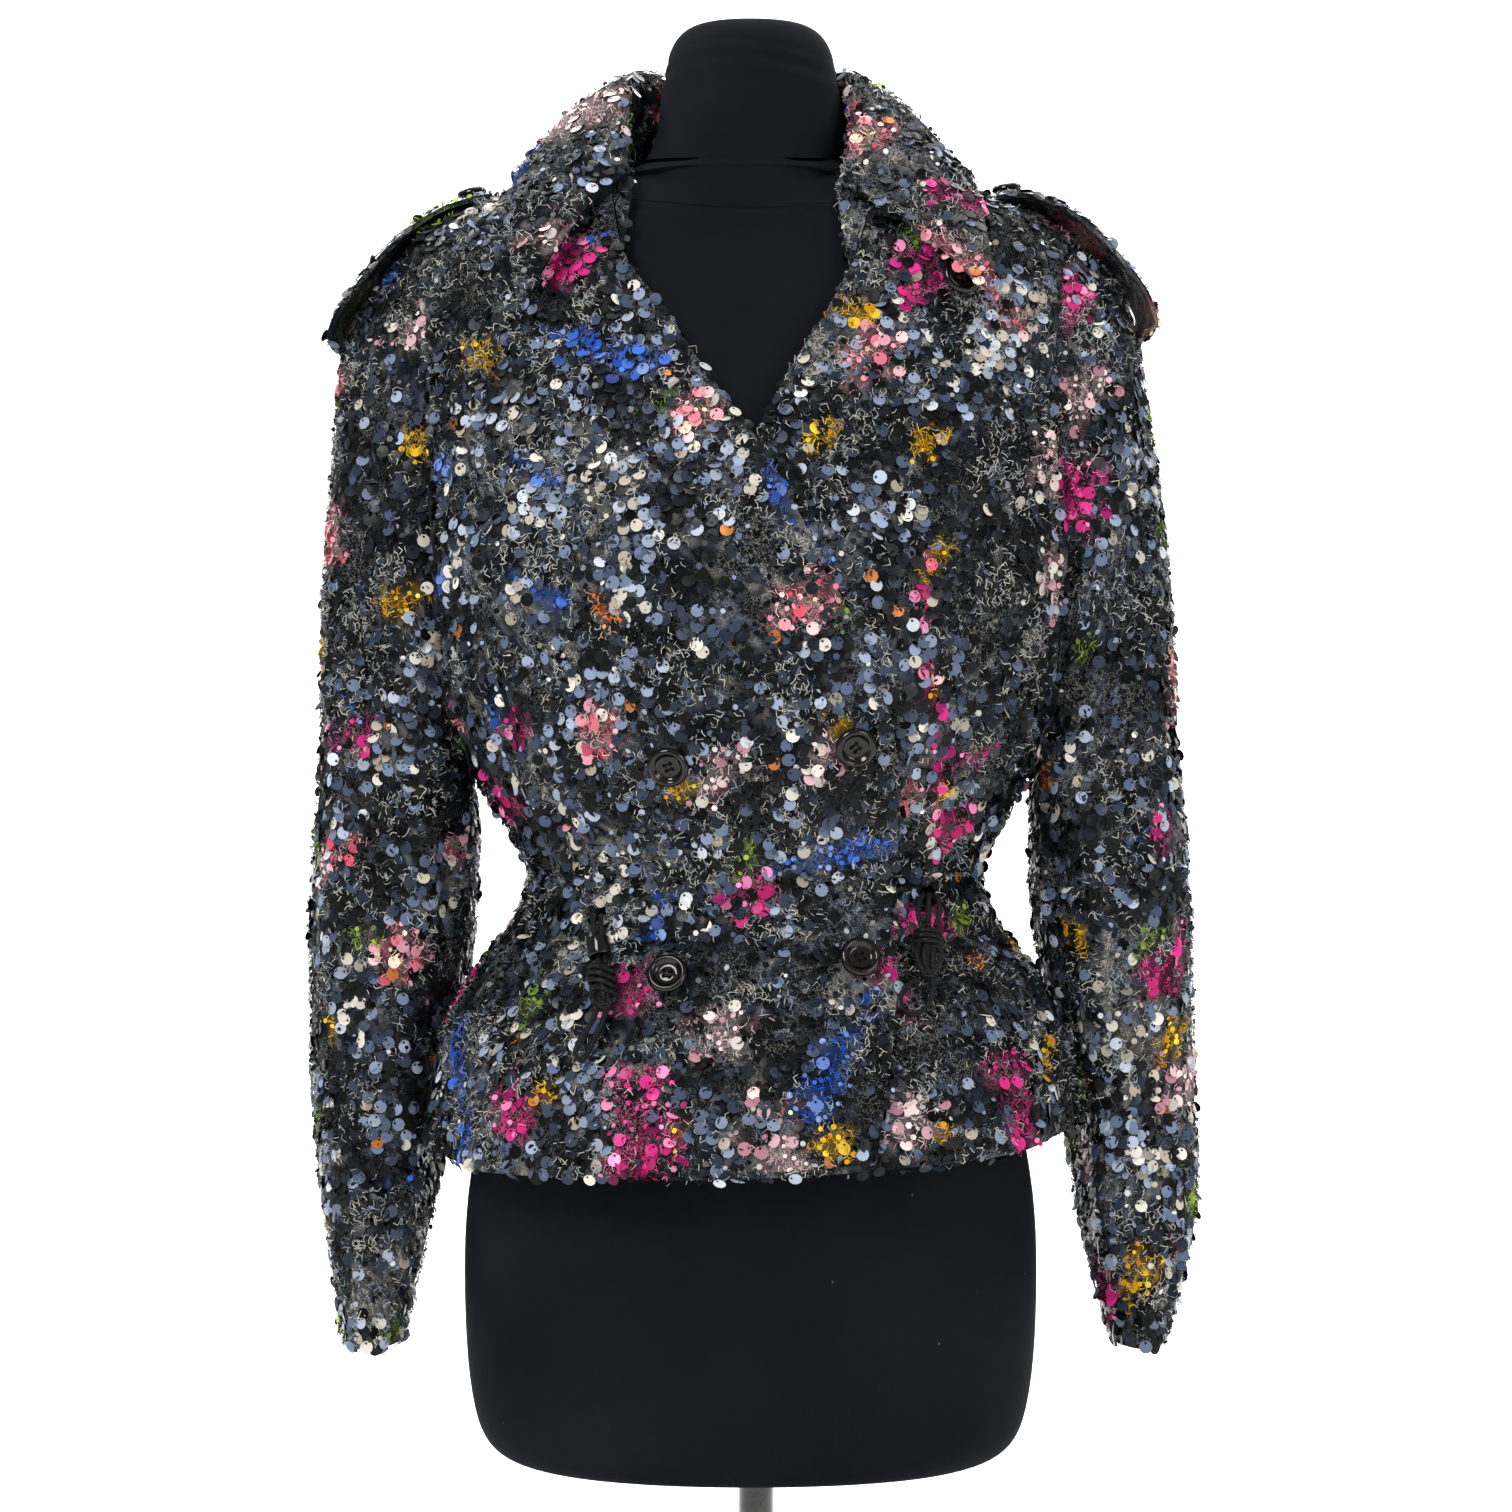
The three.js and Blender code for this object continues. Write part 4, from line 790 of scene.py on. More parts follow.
def middle_of(group, places, line):
    """The point that each point of the cloth faces away from."""
    z = places[:, 2]
    if group == "sleeve":
        heights, middles = line
        sunk = np.where(z > SLEEVE_HEAD, z - 0.4 * (z - SLEEVE_HEAD), z)
        return np.column_stack([*(np.interp(sunk, heights, middles[:, k]) for k in (0, 1)), sunk])
    if group == "strap":
        side = np.sign(places[:, 0])
        return np.column_stack([side * STRAP_MIDDLE[0], places[:, 1], np.full(len(places), STRAP_MIDDLE[1])])
    sunk = np.where(z > SHOULDER, z - 0.06, z)
    return np.column_stack([np.full(len(places), FORM_X), np.zeros(len(places)), sunk])


# Creases: from (turn, height) to (turn, height) in radians and metres, then width and depth as shares
# of the common crease
BODY_CREASES = (
    ((-1.22, 0.532), (-1.02, 0.612), 1.1, 1.2), ((-0.98, 0.532), (-0.86, 0.586), 0.8, 0.9),
    ((-0.74, 0.532), (-0.60, 0.622), 1.0, 1.3), ((-0.52, 0.532), (-0.44, 0.572), 0.7, 0.8),
    ((-0.30, 0.532), (-0.27, 0.560), 0.7, 0.6), ((0.34, 0.532), (0.30, 0.566), 0.8, 0.7),
    ((0.58, 0.532), (0.46, 0.604), 0.9, 1.1), ((0.80, 0.532), (0.70, 0.574), 0.7, 0.9),
    ((1.02, 0.532), (0.84, 0.632), 1.1, 1.3), ((1.26, 0.532), (1.16, 0.586), 0.8, 0.9),
    ((1.55, 0.532), (1.46, 0.640), 1.1, 1.1), ((1.95, 0.532), (1.86, 0.598), 0.9, 1.0),
    ((2.32, 0.532), (2.22, 0.640), 1.0, 1.2), ((2.75, 0.532), (2.70, 0.590), 0.8, 0.9),
    ((-2.85, 0.532), (-2.74, 0.604), 0.9, 1.0), ((-2.42, 0.532), (-2.30, 0.580), 0.8, 0.9),
    ((-2.05, 0.532), (-1.94, 0.646), 1.1, 1.2), ((-1.62, 0.532), (-1.56, 0.596), 0.9, 1.0),
    ((-1.18, 0.742), (-0.80, 0.700), 1.2, 0.8), ((-1.20, 0.668), (-0.78, 0.652), 1.3, 0.9),
    ((1.18, 0.730), (0.82, 0.690), 1.2, 0.8), ((1.22, 0.662), (0.86, 0.650), 1.3, 0.9),
    ((-0.62, 0.815), (-0.40, 0.742), 1.2, 0.7), ((0.64, 0.808), (0.44, 0.730), 1.2, 0.7),
    ((-2.20, 0.790), (-2.60, 0.726), 1.4, 0.8), ((2.20, 0.780), (2.62, 0.730), 1.4, 0.8),
)
SLEEVE_CREASES = (
    ((0.34, 0.716), (0.12, 0.545), 1.15, 2.3), ((0.10, 0.520), (0.42, 0.390), 1.1, 1.4),
    ((-0.75, 0.560), (-0.55, 0.420), 1.0, 1.2), ((-1.3, 0.792), (0.1, 0.742), 1.2, 1.0),
    ((-0.9, 0.706), (0.8, 0.676), 1.1, 1.2), ((-1.5, 0.664), (0.5, 0.640), 1.0, 1.3),
    ((-0.4, 0.622), (1.5, 0.606), 0.9, 1.1), ((-1.2, 0.592), (0.6, 0.570), 1.1, 1.0),
    ((0.4, 0.548), (1.9, 0.512), 1.0, 0.8), ((-1.0, 0.494), (0.5, 0.458), 1.1, 1.0),
    ((-0.2, 0.420), (1.2, 0.392), 0.9, 1.0), ((-1.1, 0.372), (0.2, 0.356), 0.8, 0.9),
    ((-0.9, 0.292), (-0.7, 0.330), 0.6, 0.9), ((-0.3, 0.292), (-0.2, 0.322), 0.6, 0.8),
    ((0.35, 0.292), (0.30, 0.334), 0.6, 1.0), ((1.0, 0.292), (0.9, 0.320), 0.6, 0.8),
    ((2.0, 0.742), (3.0, 0.700), 1.2, 0.9), ((1.7, 0.648), (3.3, 0.622), 1.0, 1.2),
    ((2.2, 0.592), (3.6, 0.574), 1.0, 1.0), ((2.4, 0.470), (3.4, 0.440), 1.1, 0.9),
    ((2.1, 0.380), (3.2, 0.356), 0.9, 0.9),
)
CREASE_WIDTH = 0.0075
BODY_RADIUS, SLEEVE_RADIUS = 0.15, 0.045


def crease(places, middles, creases, radius, mirror):
    """Moves points in along the creases, as soft troughs that fade at their ends."""
    flat = places[:, :2] - middles[:, :2]
    turn = np.arctan2(flat[:, 0] * mirror, -flat[:, 1])
    sunk = np.zeros(len(places))
    for (turn_a, z_a), (turn_b, z_b), wide, deep in creases:
        for lap in (0, 2 * math.pi):
            start = np.array([(turn_a - lap) * radius, z_a])
            way = np.array([(turn_b - turn_a) * radius, z_b - z_a])
            here = np.column_stack([turn * radius, places[:, 2]]) - start
            share = np.clip(here @ way / (way @ way), 0, 1)
            away = lengths(here - share[:, None] * way)
            width = CREASE_WIDTH * wide
            fade = 1 - 0.75 * (2 * share - 1) ** 4
            trough = bell(away, width) - 0.35 * bell(away - 1.9 * width, width)
            sunk += trough * fade * deep * sizes().crease
    moved = places.copy()
    moved[:, :2] -= flat / lengths(flat, 1e-6)[:, None] * sunk[:, None]
    return moved


STRAP_HALF_DEPTH = 0.024
STRAP_GAP = 0.0008


def lay_back_edge(name, places):
    """Lets an epaulette's back edge down on to shoulder and sleeve, and keeps its front edge proud."""
    side = name.split("_")[1]
    covers = [_shells[f"{part}_{side}"][0] for part in ("sleeve", "front", "back")]
    depsgraph = bpy.context.evaluated_depsgraph_get()
    trees = [BVHTree.FromObject(obj, depsgraph) for obj in covers]
    under = middle_of("strap", places, None)
    way = unit(under - places)
    share = (places[:, 1] - 0.002) / STRAP_HALF_DEPTH
    found, gaps = [], []
    for i in np.nonzero(share > 0.8)[0]:
        start = Vector(places[i])
        near = [hit[3] for hit in (t.ray_cast(start, Vector(way[i]), 0.03) for t in trees) if hit[0]]
        if near:
            found.append(places[i, 0])
            gaps.append(min(near))
    order = np.argsort(found)
    found, gaps = np.array(found)[order], np.array(gaps)[order]
    stations = np.linspace(found[0], found[-1], 18)
    step = (stations[1] - stations[0]) * 0.75
    least = np.array([gaps[np.abs(found - x) < step].min() for x in stations])
    drop = np.maximum(np.interp(places[:, 0], stations, least) - STRAP_GAP, 0)
    return places + way * (drop * np.clip((share + 0.6) / 1.5, 0, 1) ** 1.3)[:, None]


COLLAR_LIFT = 0.004
COLLAR_FOLD = 0.93


def stand_collar_off(places):
    """Lets the collar's fall stand off the fronts towards its edge, which then throws a shadow."""
    below = np.clip((COLLAR_FOLD - places[:, 2]) / 0.06, 0, 1)
    ahead = np.clip((0.02 - places[:, 1]) / 0.05, 0, 1)
    lifted = places.copy()
    lifted[:, 1] -= COLLAR_LIFT * below * ahead
    return lifted


# Cloth pieces: group, flat cut (width, length) in metres, its area in square metres, and how it is held
CLOTH = {
    "front_right": ("body", (0.29, 0.42), 0.0864, "hung"),
    "front_left": ("body", (0.28, 0.42), 0.0816, "hung"),
    "back_right": ("body", (0.24, 0.42), 0.0790, "hung"),
    "back_left": ("body", (0.24, 0.42), 0.0788, "hung"),
    "waist_casing_right": ("body", (0.46, 0.034), 0.0147, "gathered"),
    "waist_casing_left": ("body", (0.45, 0.034), 0.0143, "gathered"),
    "peplum_right": ("body", (0.36, 0.125), 0.0399, "gathered"),
    "peplum_left": ("body", (0.33, 0.125), 0.0357, "gathered"),
    "peplum_back": ("body", (0.48, 0.12), 0.0525, "gathered"),
    "sleeve_right": ("sleeve", (0.32, 0.60), 0.1459, "hung"),
    "sleeve_left": ("sleeve", (0.32, 0.60), 0.1438, "hung"),
    "cuff_right": ("sleeve", (0.19, 0.028), 0.0050, "hung"),
    "cuff_left": ("sleeve", (0.19, 0.028), 0.0050, "hung"),
    "collar_fall": ("collar", (0.50, 0.10), 0.0436, "folded"),
    "collar_stand": ("collar", (0.45, 0.045), 0.0186, "folded"),
    "epaulette_right": ("strap", (0.13, 0.050), 0.0060, "laid"),
    "epaulette_left": ("strap", (0.13, 0.050), 0.0060, "laid"),
}
SHELL_LEVELS = 2
_shells = {}


# The dress form

# Heights of the neck's upper edge under its cap and of its foot
NECK_JOINT, NECK_BASE = 0.9192, 0.893
NECK_TURNS = 48
# The seam round the neck's foot: its middle height, how far it dips at the front, and half its width
SEAM_HEIGHT, SEAM_DIP, SEAM_RADIUS = 0.906, 0.014, 0.0005
# The cap's folds: the height of the lowest, its depth, and how far the next stands over it
FOLD_HEIGHT, FOLD_DEPTH, NEXT_FOLD = 0.974, 0.0011, 0.009


def reach_by_turn(places, centre, turns):
    """How far the outermost of these places stands from a centre, at each turn about it."""
    flat = places[:, :2] - centre
    reach = lengths(flat)
    at = np.arctan2(flat[:, 1], flat[:, 0])
    edges = np.linspace(-math.pi, math.pi, NECK_TURNS + 1)
    bins = [(at >= low) & (at < high) for low, high in zip(edges, edges[1:])]
    stations = np.array([(low + high) / 2 for low, high, here in zip(edges, edges[1:], bins) if here.any()])
    most = np.array([reach[here].max() for here in bins if here.any()])
    return np.interp(turns, stations, most, period=2 * math.pi)


def join_neck(torso, cap):
    """Runs the neck straight down from its cap into the shoulders, with no groove where the two meet."""
    lower, upper = coordinates(torso.data), coordinates(cap.data)
    rim = upper[upper[:, 2] < 0.945]
    base = lower[(lower[:, 2] > NECK_BASE - 0.004) & (lower[:, 2] < NECK_BASE + 0.002)]
    centre = (rim[:, :2].min(axis=0) + rim[:, :2].max(axis=0)) / 2
    flat = lower[:, :2] - centre
    reach = lengths(flat)
    turns = np.arctan2(flat[:, 1], flat[:, 0])
    top, bottom = (reach_by_turn(ring, centre, turns) for ring in (rim, base))
    rise = np.clip((lower[:, 2] - NECK_BASE) / (NECK_JOINT - NECK_BASE), 0, 1)
    wanted = bottom + (top - bottom) * (1 - (1 - rise) ** 2)
    inside = (lower[:, 2] > NECK_BASE) & (lower[:, 2] < NECK_JOINT) & (flat[:, 1] < 0)
    inside &= (reach > 0.5 * wanted) & (reach < wanted)
    lower[inside, :2] = centre + flat[inside] * (wanted / np.maximum(reach, 1e-6))[inside, None]
    set_coordinates(torso.data, lower)
    low = upper[:, 2] < NECK_JOINT + 0.0014
    upper[low, 2] -= 0.00026
    set_coordinates(cap.data, upper)


def fold_cap(cap):
    """Presses two shallow folds into the jersey round the neck cap."""
    places = coordinates(cap.data)
    flat = places[:, :2] - np.array([FORM_X, 0])
    turn = np.arctan2(flat[:, 0], -flat[:, 1])
    rise = places[:, 2] - FOLD_HEIGHT - 0.004 * np.cos(2 * turn + 0.6)
    fold = bell(rise, 0.0022) - 0.7 * bell(rise + 0.006, 0.0026)
    second = bell(rise - NEXT_FOLD, 0.002)
    shallow = FOLD_DEPTH * (0.7 + 0.5 * np.sin(3 * turn + 1)) * (fold + 0.6 * second)
    places[:, :2] -= flat / lengths(flat, 1e-6)[:, None] * shallow[:, None]
    set_coordinates(cap.data, places)


def neck_seam_line(torso):
    """Points round the neck's foot, on the jersey."""
    tree = BVHTree.FromObject(torso, bpy.context.evaluated_depsgraph_get())
    line = []
    for i in range(2 * NECK_TURNS + 1):
        angle = math.pi * i / NECK_TURNS
        height = SEAM_HEIGHT - SEAM_DIP * math.cos(angle)
        out = Vector((math.sin(angle), -math.cos(angle), 0))
        hit = tree.ray_cast(Vector((FORM_X, 0, height)), out)[0]
        if hit is not None:
            line.append(hit + out * 0.0001)
    return line


class JACKET_OT_form(bpy.types.Operator):
    """Makes the jersey dress form, its neck cap and seam, and paints the pole and base"""

    bl_idname = "jacket.form"
    bl_label = "Dress form"

    def execute(self, context):
        torso = shell_of("form_torso", "form_torso_jersey", 2)
        cap = shell_of("form_neck_cap", "form_neck_cap_jersey", 3)
        join_neck(torso, cap)
        fold_cap(cap)
        for piece, node in ((torso, "form_torso"), (cap, "form_neck_cap")):
            settle(piece, material("jersey"), "jersey", node)
        seam = tube("form_neck_seam", neck_seam_line(torso), SEAM_RADIUS)
        settle(seam, material("jersey"), "jersey")
        for name in ("stand_pole", "stand_base"):
            settle(shell_of(name, f"{name}_enamel", 2), material("enamel"), "stand", name)
        return {"FINISHED"}


class JACKET_OT_cloth(bpy.types.Operator):
    """Makes the jacket's cloth panels, sleeves, collar and epaulettes with their creases"""

    bl_idname = "jacket.cloth"
    bl_label = "Cloth"

    def execute(self, context):
        for name, (group, flat, area, held) in CLOTH.items():
            shell = shell_of(name, f"{name}_cloth", SHELL_LEVELS)
            places = coordinates(shell.data)
            line = centre_line(places) if group == "sleeve" else None
            middles = middle_of(group, places, line)
            if group == "body":
                places = crease(places, middles, BODY_CREASES, BODY_RADIUS, 1)
            if group == "sleeve":
                places = crease(places, middles, SLEEVE_CREASES, SLEEVE_RADIUS, np.sign(places[0, 0]))
            if group == "strap":
                places = lay_back_edge(name, places)
            if name == "collar_fall":
                places = stand_collar_off(places)
            set_coordinates(shell.data, places)
            settle(shell, material("net"), "cloth", name)
            _shells[name] = (shell, group)
        return {"FINISHED"}


# Buttons


def turned(name, profile, segments):
    """A round piece raised from a cylinder by extruding its top face ring by ring."""
    (radius, base), (_, height) = profile[:2]
    deselect()
    bpy.ops.mesh.primitive_cylinder_add(
        vertices=segments, radius=radius, depth=height - base, location=(0, 0, (base + height) / 2)
    )
    obj = bpy.context.active_object
    obj.name = name
    bpy.ops.object.transform_apply(location=True)
    top = max(obj.data.polygons, key=lambda face: face.center.z).index
    edit_chosen(obj, "FACE", lambda face: face.index == top)
    for (_, low), (after, high) in zip(profile[1:], profile[2:]):
        bpy.ops.mesh.extrude_region_move(TRANSFORM_OT_translate={"value": (0, 0, high - low)})
        bpy.ops.transform.resize(value=(after / radius, after / radius, 1))
        radius = after
    set_mode("OBJECT")
    return obj


# A button's outline, as shares of its radius and thickness
BUTTON_PROFILE = (
    (0.84, 0.0), (0.84, 0.06), (0.95, 0.22), (1.0, 0.45), (0.98, 0.68), (0.92, 0.88), (0.84, 1.0),
    (0.76, 0.99), (0.69, 0.86), (0.62, 0.62), (0.55, 0.46), (0.46, 0.40), (0.34, 0.42), (0.18, 0.43),
)
BUTTON_LIFT = 0.001
# Its four holes, as shares of its radius: how far out they stand and their own radius
HOLE_REACH, HOLE_RADIUS = 0.2, 0.11
SEWING_RADIUS = 0.0003
# Buttons: radius and thickness in millimetres, and how far each is spun
BUTTONS = {
    "button_upper_right": (11.0, 4.4, 0.2),
    "button_upper_left": (11.0, 4.4, 0.9),
    "button_lower_right": (11.0, 4.4, -0.3),
    "button_lower_left": (11.0, 4.4, 0.5),
    "button_collar": (11.0, 4.4, 0.1),
    "button_epaulette_right": (8.5, 4.0, 0.4),
    "button_epaulette_left": (8.5, 4.0, -0.2),
}


def node_places(name):
    node = frame["nodes"][name]
    world = np.array(node.matrix_world)
    places = coordinates(node.data)
    return places @ world[:3, :3].T + world[:3, 3]


def seat_of(name, outward):
    """The middle of a button's underside and the way that it faces, from its CAD node."""
    places = node_places(name)
    middle = places.mean(axis=0)
    _, _, axes = np.linalg.svd(places - middle)
    normal = Vector(axes[2])
    if normal.dot(outward) < 0:
        normal.negate()
    reach = (places - middle) @ np.array(normal)
    return Vector(middle) + normal * float(reach.min()), normal


def sewing_lines(holes, thick, radius):
    """Four lines of thread, two on each pair of holes, that bow over a button's middle."""
    lines = []
    for first, second in ((0, 1), (2, 3), (0, 1), (2, 3)):
        low, high = 0.36 * thick * MM, (0.54 + 0.04 * len(lines)) * thick * MM
        start, stop = (Vector((*holes[k], low)) for k in (first, second))
        side = 0.012 * radius * MM * (len(lines) - 1.5)
        shift, rise = Vector((side, side, 0)), UP * (high - low)
        bow = [
            start + shift,
            start.lerp(stop, 0.15) + rise + shift,
            start.lerp(stop, 0.85) + rise + shift,
            stop + shift,
        ]
        lines.append(smooth_route(bow, 4))
    return lines


class JACKET_OT_buttons(bpy.types.Operator):
    """Makes the moulded four-hole buttons and the thread that holds them"""

    bl_idname = "jacket.buttons"
    bl_label = "Buttons"

    def execute(self, context):
        corners = [math.pi / 4 + i * math.pi / 2 for i in range(4)]
        for name, (radius, thick, spin) in BUTTONS.items():
            profile = [(r * radius * MM, z * thick * MM) for r, z in BUTTON_PROFILE]
            button = turned(f"{name}_resin", profile, 48)
            reach = HOLE_REACH * radius * MM
            holes = [(reach * math.cos(a), reach * math.sin(a)) for a in corners]
            for hole in holes:
                deselect()
                drill(button, HOLE_RADIUS * radius * MM, 0.02, 16, (*hole, 0))
            smooth_by_angle(button, 35)
            seat, normal = seat_of(name, UP if "epaulette" in name else FRONT)
            turn = UP.rotation_difference(normal).to_matrix().to_4x4()
            if name == "button_collar":
                seat.y -= COLLAR_LIFT
            place = Matrix.Translation(seat + normal * BUTTON_LIFT) @ turn @ Matrix.Rotation(spin, 4, "Z")
            button.data.transform(place)
            settle(button, material("button"), "button", name)
            for i, line in enumerate(sewing_lines(holes, thick, radius)):
                sewing = tube(f"{name}_thread_{i}", [place @ p for p in line], SEWING_RADIUS)
                settle(sewing, material("cord"), "cord")
        return {"FINISHED"}


# The pattern: painterly flowers strewn on a mottled black, slate and ivory ground


def lattice_noise(points, size, seed):
    """Smooth noise from -1 to 1 whose lumps are about size metres, from a hash of the lattice's corners."""
    scaled = points / size
    cell = np.floor(scaled).astype(np.int64)
    part = scaled - cell
    part = part * part * (3 - 2 * part)
    total = np.zeros(len(points))
    for corner in np.ndindex(2, 2, 2):
        at = cell + np.array(corner)
        mixed = at[:, 0] * 73856093 ^ at[:, 1] * 19349663 ^ at[:, 2] * 83492791 ^ (seed * 7919)
        mixed = (mixed ^ (mixed >> 13)) * 1274126177
        value = ((mixed ^ (mixed >> 16)) & 0xFFFF) / 32767.5 - 1
        weight = np.prod(np.where(np.array(corner) == 1, part, 1 - part), axis=1)
        total += weight * value
    return total


# Flower kinds: share of all, smallest and largest radius in metres, petals, how drawn out, how much of
# it is floss, and colours from heart to edge
FLOWERS = (
    (0.20, 0.012, 0.026, 6, 1.0, 0.25, (0x5A1038, 0xB01C60, 0xD93088, 0xC42A74, 0xEA86B4, 0x8E1858)),
    (0.18, 0.012, 0.026, 5, 1.2, 0.45, (0xF0D0B8, 0xE0788A, 0xEA9AA4, 0xCC5068, 0xF0C0C2, 0xDC98A6)),
    (0.14, 0.014, 0.030, 7, 1.4, 0.35, (0xEAD8D4, 0xDCB2B8, 0xC9A0A8, 0xE8D2CC, 0xC8C2BA, 0xB07C88)),
    (0.18, 0.010, 0.024, 3, 3.2, 0.5, (0x1F4AA8, 0x2F5CB8, 0x6480C4, 0x3A66C0, 0x7C94C8, 0x203C80)),
    (0.12, 0.007, 0.014, 5, 1.4, 0.9, (0xC98A0F, 0xE0B020, 0xF0CC3A, 0xE0B428, 0xC98A18)),
    (0.13, 0.008, 0.016, 4, 2.0, 0.85, (0x3E4F20, 0x7F9A2E, 0x9AB548, 0x5E7A30, 0x4E6B4A)),
    (0.05, 0.006, 0.011, 5, 1.0, 0.9, (0xB8501C, 0xE0843A, 0xD86A28, 0xF0A860)),
)
ROSES, DABS = (0, 1, 2), (3, 4, 5)
DAB_SHARES = (0.3, 0.3, 0.4)
# The ground's colours, each set from its tone up
GROUND = (
    (-9.0, (0x020303, 0x040506, 0x07090B, 0x0A0D10, 0x141A22, 0x2C3644)),
    (-0.08, (0x10161E, 0x222C38, 0x3A4656, 0x4A566A, 0x040506)),
    (0.08, (0x3C4860, 0x56647E, 0x7C8AA4, 0x66748C, 0x1C242E, 0x9AA6BC)),
    (0.26, (0x8592A8, 0xA4AEBE, 0xC4CAD2, 0x66748C, 0xD2CCC0, 0x2C3644)),
    (0.44, (0xD2CCC0, 0xE4DED4, 0xBCB2A4, 0xA4AEBE, 0x9C9486)),
)
FLOWER_GAP = 0.056
MOST_FLOWERS = 420


def palette(codes):
    return np.array([linear(code) for code in codes])


def strewn_flowers(points, normals, rng):
    """Flowers over the jacket, none close to another: place, normal, kind, size and turn of each."""
    kept, chosen = [], np.zeros((0, 3))
    for i in rng.permutation(len(points)):
        if len(kept) and lengths(chosen - points[i]).min() < FLOWER_GAP:
            continue
        kept.append(i)
        chosen = points[kept]
        if len(kept) > MOST_FLOWERS:
            break
    shares = np.array([kind[0] for kind in FLOWERS])
    kinds = rng.choice(len(FLOWERS), len(kept), p=shares / shares.sum())
    low, high = (np.array([FLOWERS[k][end] for k in kinds]) for end in (1, 2))
    at, normal = points[kept], normals[kept]
    size = low + (high - low) * rng.random(len(kept))
    # a leaf or a brush dab beside many of the roses
    beside = np.nonzero(np.isin(kinds, ROSES) & (rng.random(len(kept)) < 0.75))[0]
    along = unit(np.cross(normal[beside], rng.standard_normal((len(beside), 3))))
    dab_kinds = rng.choice(DABS, len(beside), p=DAB_SHARES)
    dab_size = size[beside] * (0.35 + 0.3 * rng.random(len(beside)))
    at = np.concatenate([at, at[beside] + along * (size[beside] * 1.05)[:, None]])
    normal = np.concatenate([normal, normal[beside]])
    kinds = np.concatenate([kinds, dab_kinds])
    size = np.concatenate([size, dab_size])
    return list(zip(at, normal, kinds, size, rng.random(len(at)) * 2 * math.pi))


def pattern(points, flowers, rng):
    """The colour at each point, whether it is in a flower, and how much of it is floss."""
    count = len(points)
    tone = (
        0.50 * lattice_noise(points, 0.038, 3)
        + 0.34 * lattice_noise(points, 0.016, 5)
        + 0.26 * lattice_noise(points, 0.007, 8)
        + 0.24 * rng.standard_normal(count)
    )
    tint = np.zeros((count, 3))
    for level, codes in GROUND:
        shades = palette(codes)
        picked = shades[rng.integers(0, len(shades), count)]
        tint = np.where((tone > level)[:, None], picked, tint)
    in_flower = np.zeros(count, dtype=bool)
    floss = np.zeros(count)
    wobble = 0.42 * lattice_noise(points, 0.013, 13) + 0.25 * lattice_noise(points, 0.006, 14)
    best = np.full(count, 9.0)
    for at, normal, kind, size, turn in flowers:
        near = np.nonzero(lengths(points - at) < size * 2.6)[0]
        if not len(near):
            continue
        _, _, _, petals, drawn, thready, codes = FLOWERS[kind]
        across = np.cross(normal, (0, 0, 1))
        across /= max(np.linalg.norm(across), 1e-6)
        here = points[near] - at
        x, y = here @ across, here @ np.cross(across, normal)
        x, y = x * math.cos(turn) + y * math.sin(turn), y * math.cos(turn) - x * math.sin(turn)
        x, y = x * drawn**0.5, y / drawn**0.5
        edge = size * (0.86 + 0.14 * np.cos(petals * np.arctan2(y, x) + 2 * turn))
        share = np.hypot(x, y) / edge + wobble[near] + 0.13 * rng.standard_normal(len(near))
        thick = 0.9 - 0.45 * np.clip(share, 0, 1) ** 2
        inside = (share < 1.0) & (share < best[near]) & (rng.random(len(near)) < thick)
        hit = near[inside]
        shades = palette(codes)
        index = np.clip(share[inside] * len(shades) + 0.9 * rng.standard_normal(len(hit)), 0, len(shades) - 1)
        tint[hit] = shades[index.astype(int)]
        in_flower[hit], floss[hit], best[hit] = True, thready, share[inside]
    tint *= (0.7 + 0.45 * rng.random(count))[:, None]
    return np.clip(tint, 0, 1), in_flower, floss


def disc_zone(points):
    """From 0 where the cloth is embroidered with thread to 1 where discs cover it."""
    lump = 0.7 * lattice_noise(points, 0.050, 21) + 0.5 * lattice_noise(points, 0.020, 22)
    return np.clip((lump + 0.22) / 0.36, 0, 1)


# Where two cut pieces or panels meet, the pattern doesn't run on
PIECE_OFFSETS = {
    "front_left": (0.31, 0.12, 0.07),
    "back_right": (0.0, 0.4, 0.13),
    "back_left": (0.22, 0.5, -0.11),
    "sleeve_right": (0.7, 0.0, 0.05),
    "sleeve_left": (-0.8, 0.0, 0.17),
    "peplum_right": (0.05, 0.0, 0.9),
    "peplum_left": (0.35, 0.0, 0.97),
    "peplum_back": (0.0, 0.7, 0.95),
    "collar_fall": (0.1, 0.2, -0.6),
    "cuff_right": (0.7, 0.0, 0.05),
    "cuff_left": (-0.8, 0.0, 0.17),
}
# The princess seam of the fronts: how far out it stands, its lower and upper end, and the pattern's step
PRINCESS_SEAM = (0.0925, 0.530, 0.735, 0.06)
# The share of a face's normal that has to point away from the cloth's inside
FACE_SIDE = 0.12


def mesh_triangles(mesh):
    """The corner numbers of a mesh's triangles."""
    mesh.calc_loop_triangles()
    triangles = np.empty(len(mesh.loop_triangles) * 3, dtype=np.int32)
    mesh.loop_triangles.foreach_get("vertices", triangles)
    return triangles.reshape(-1, 3)


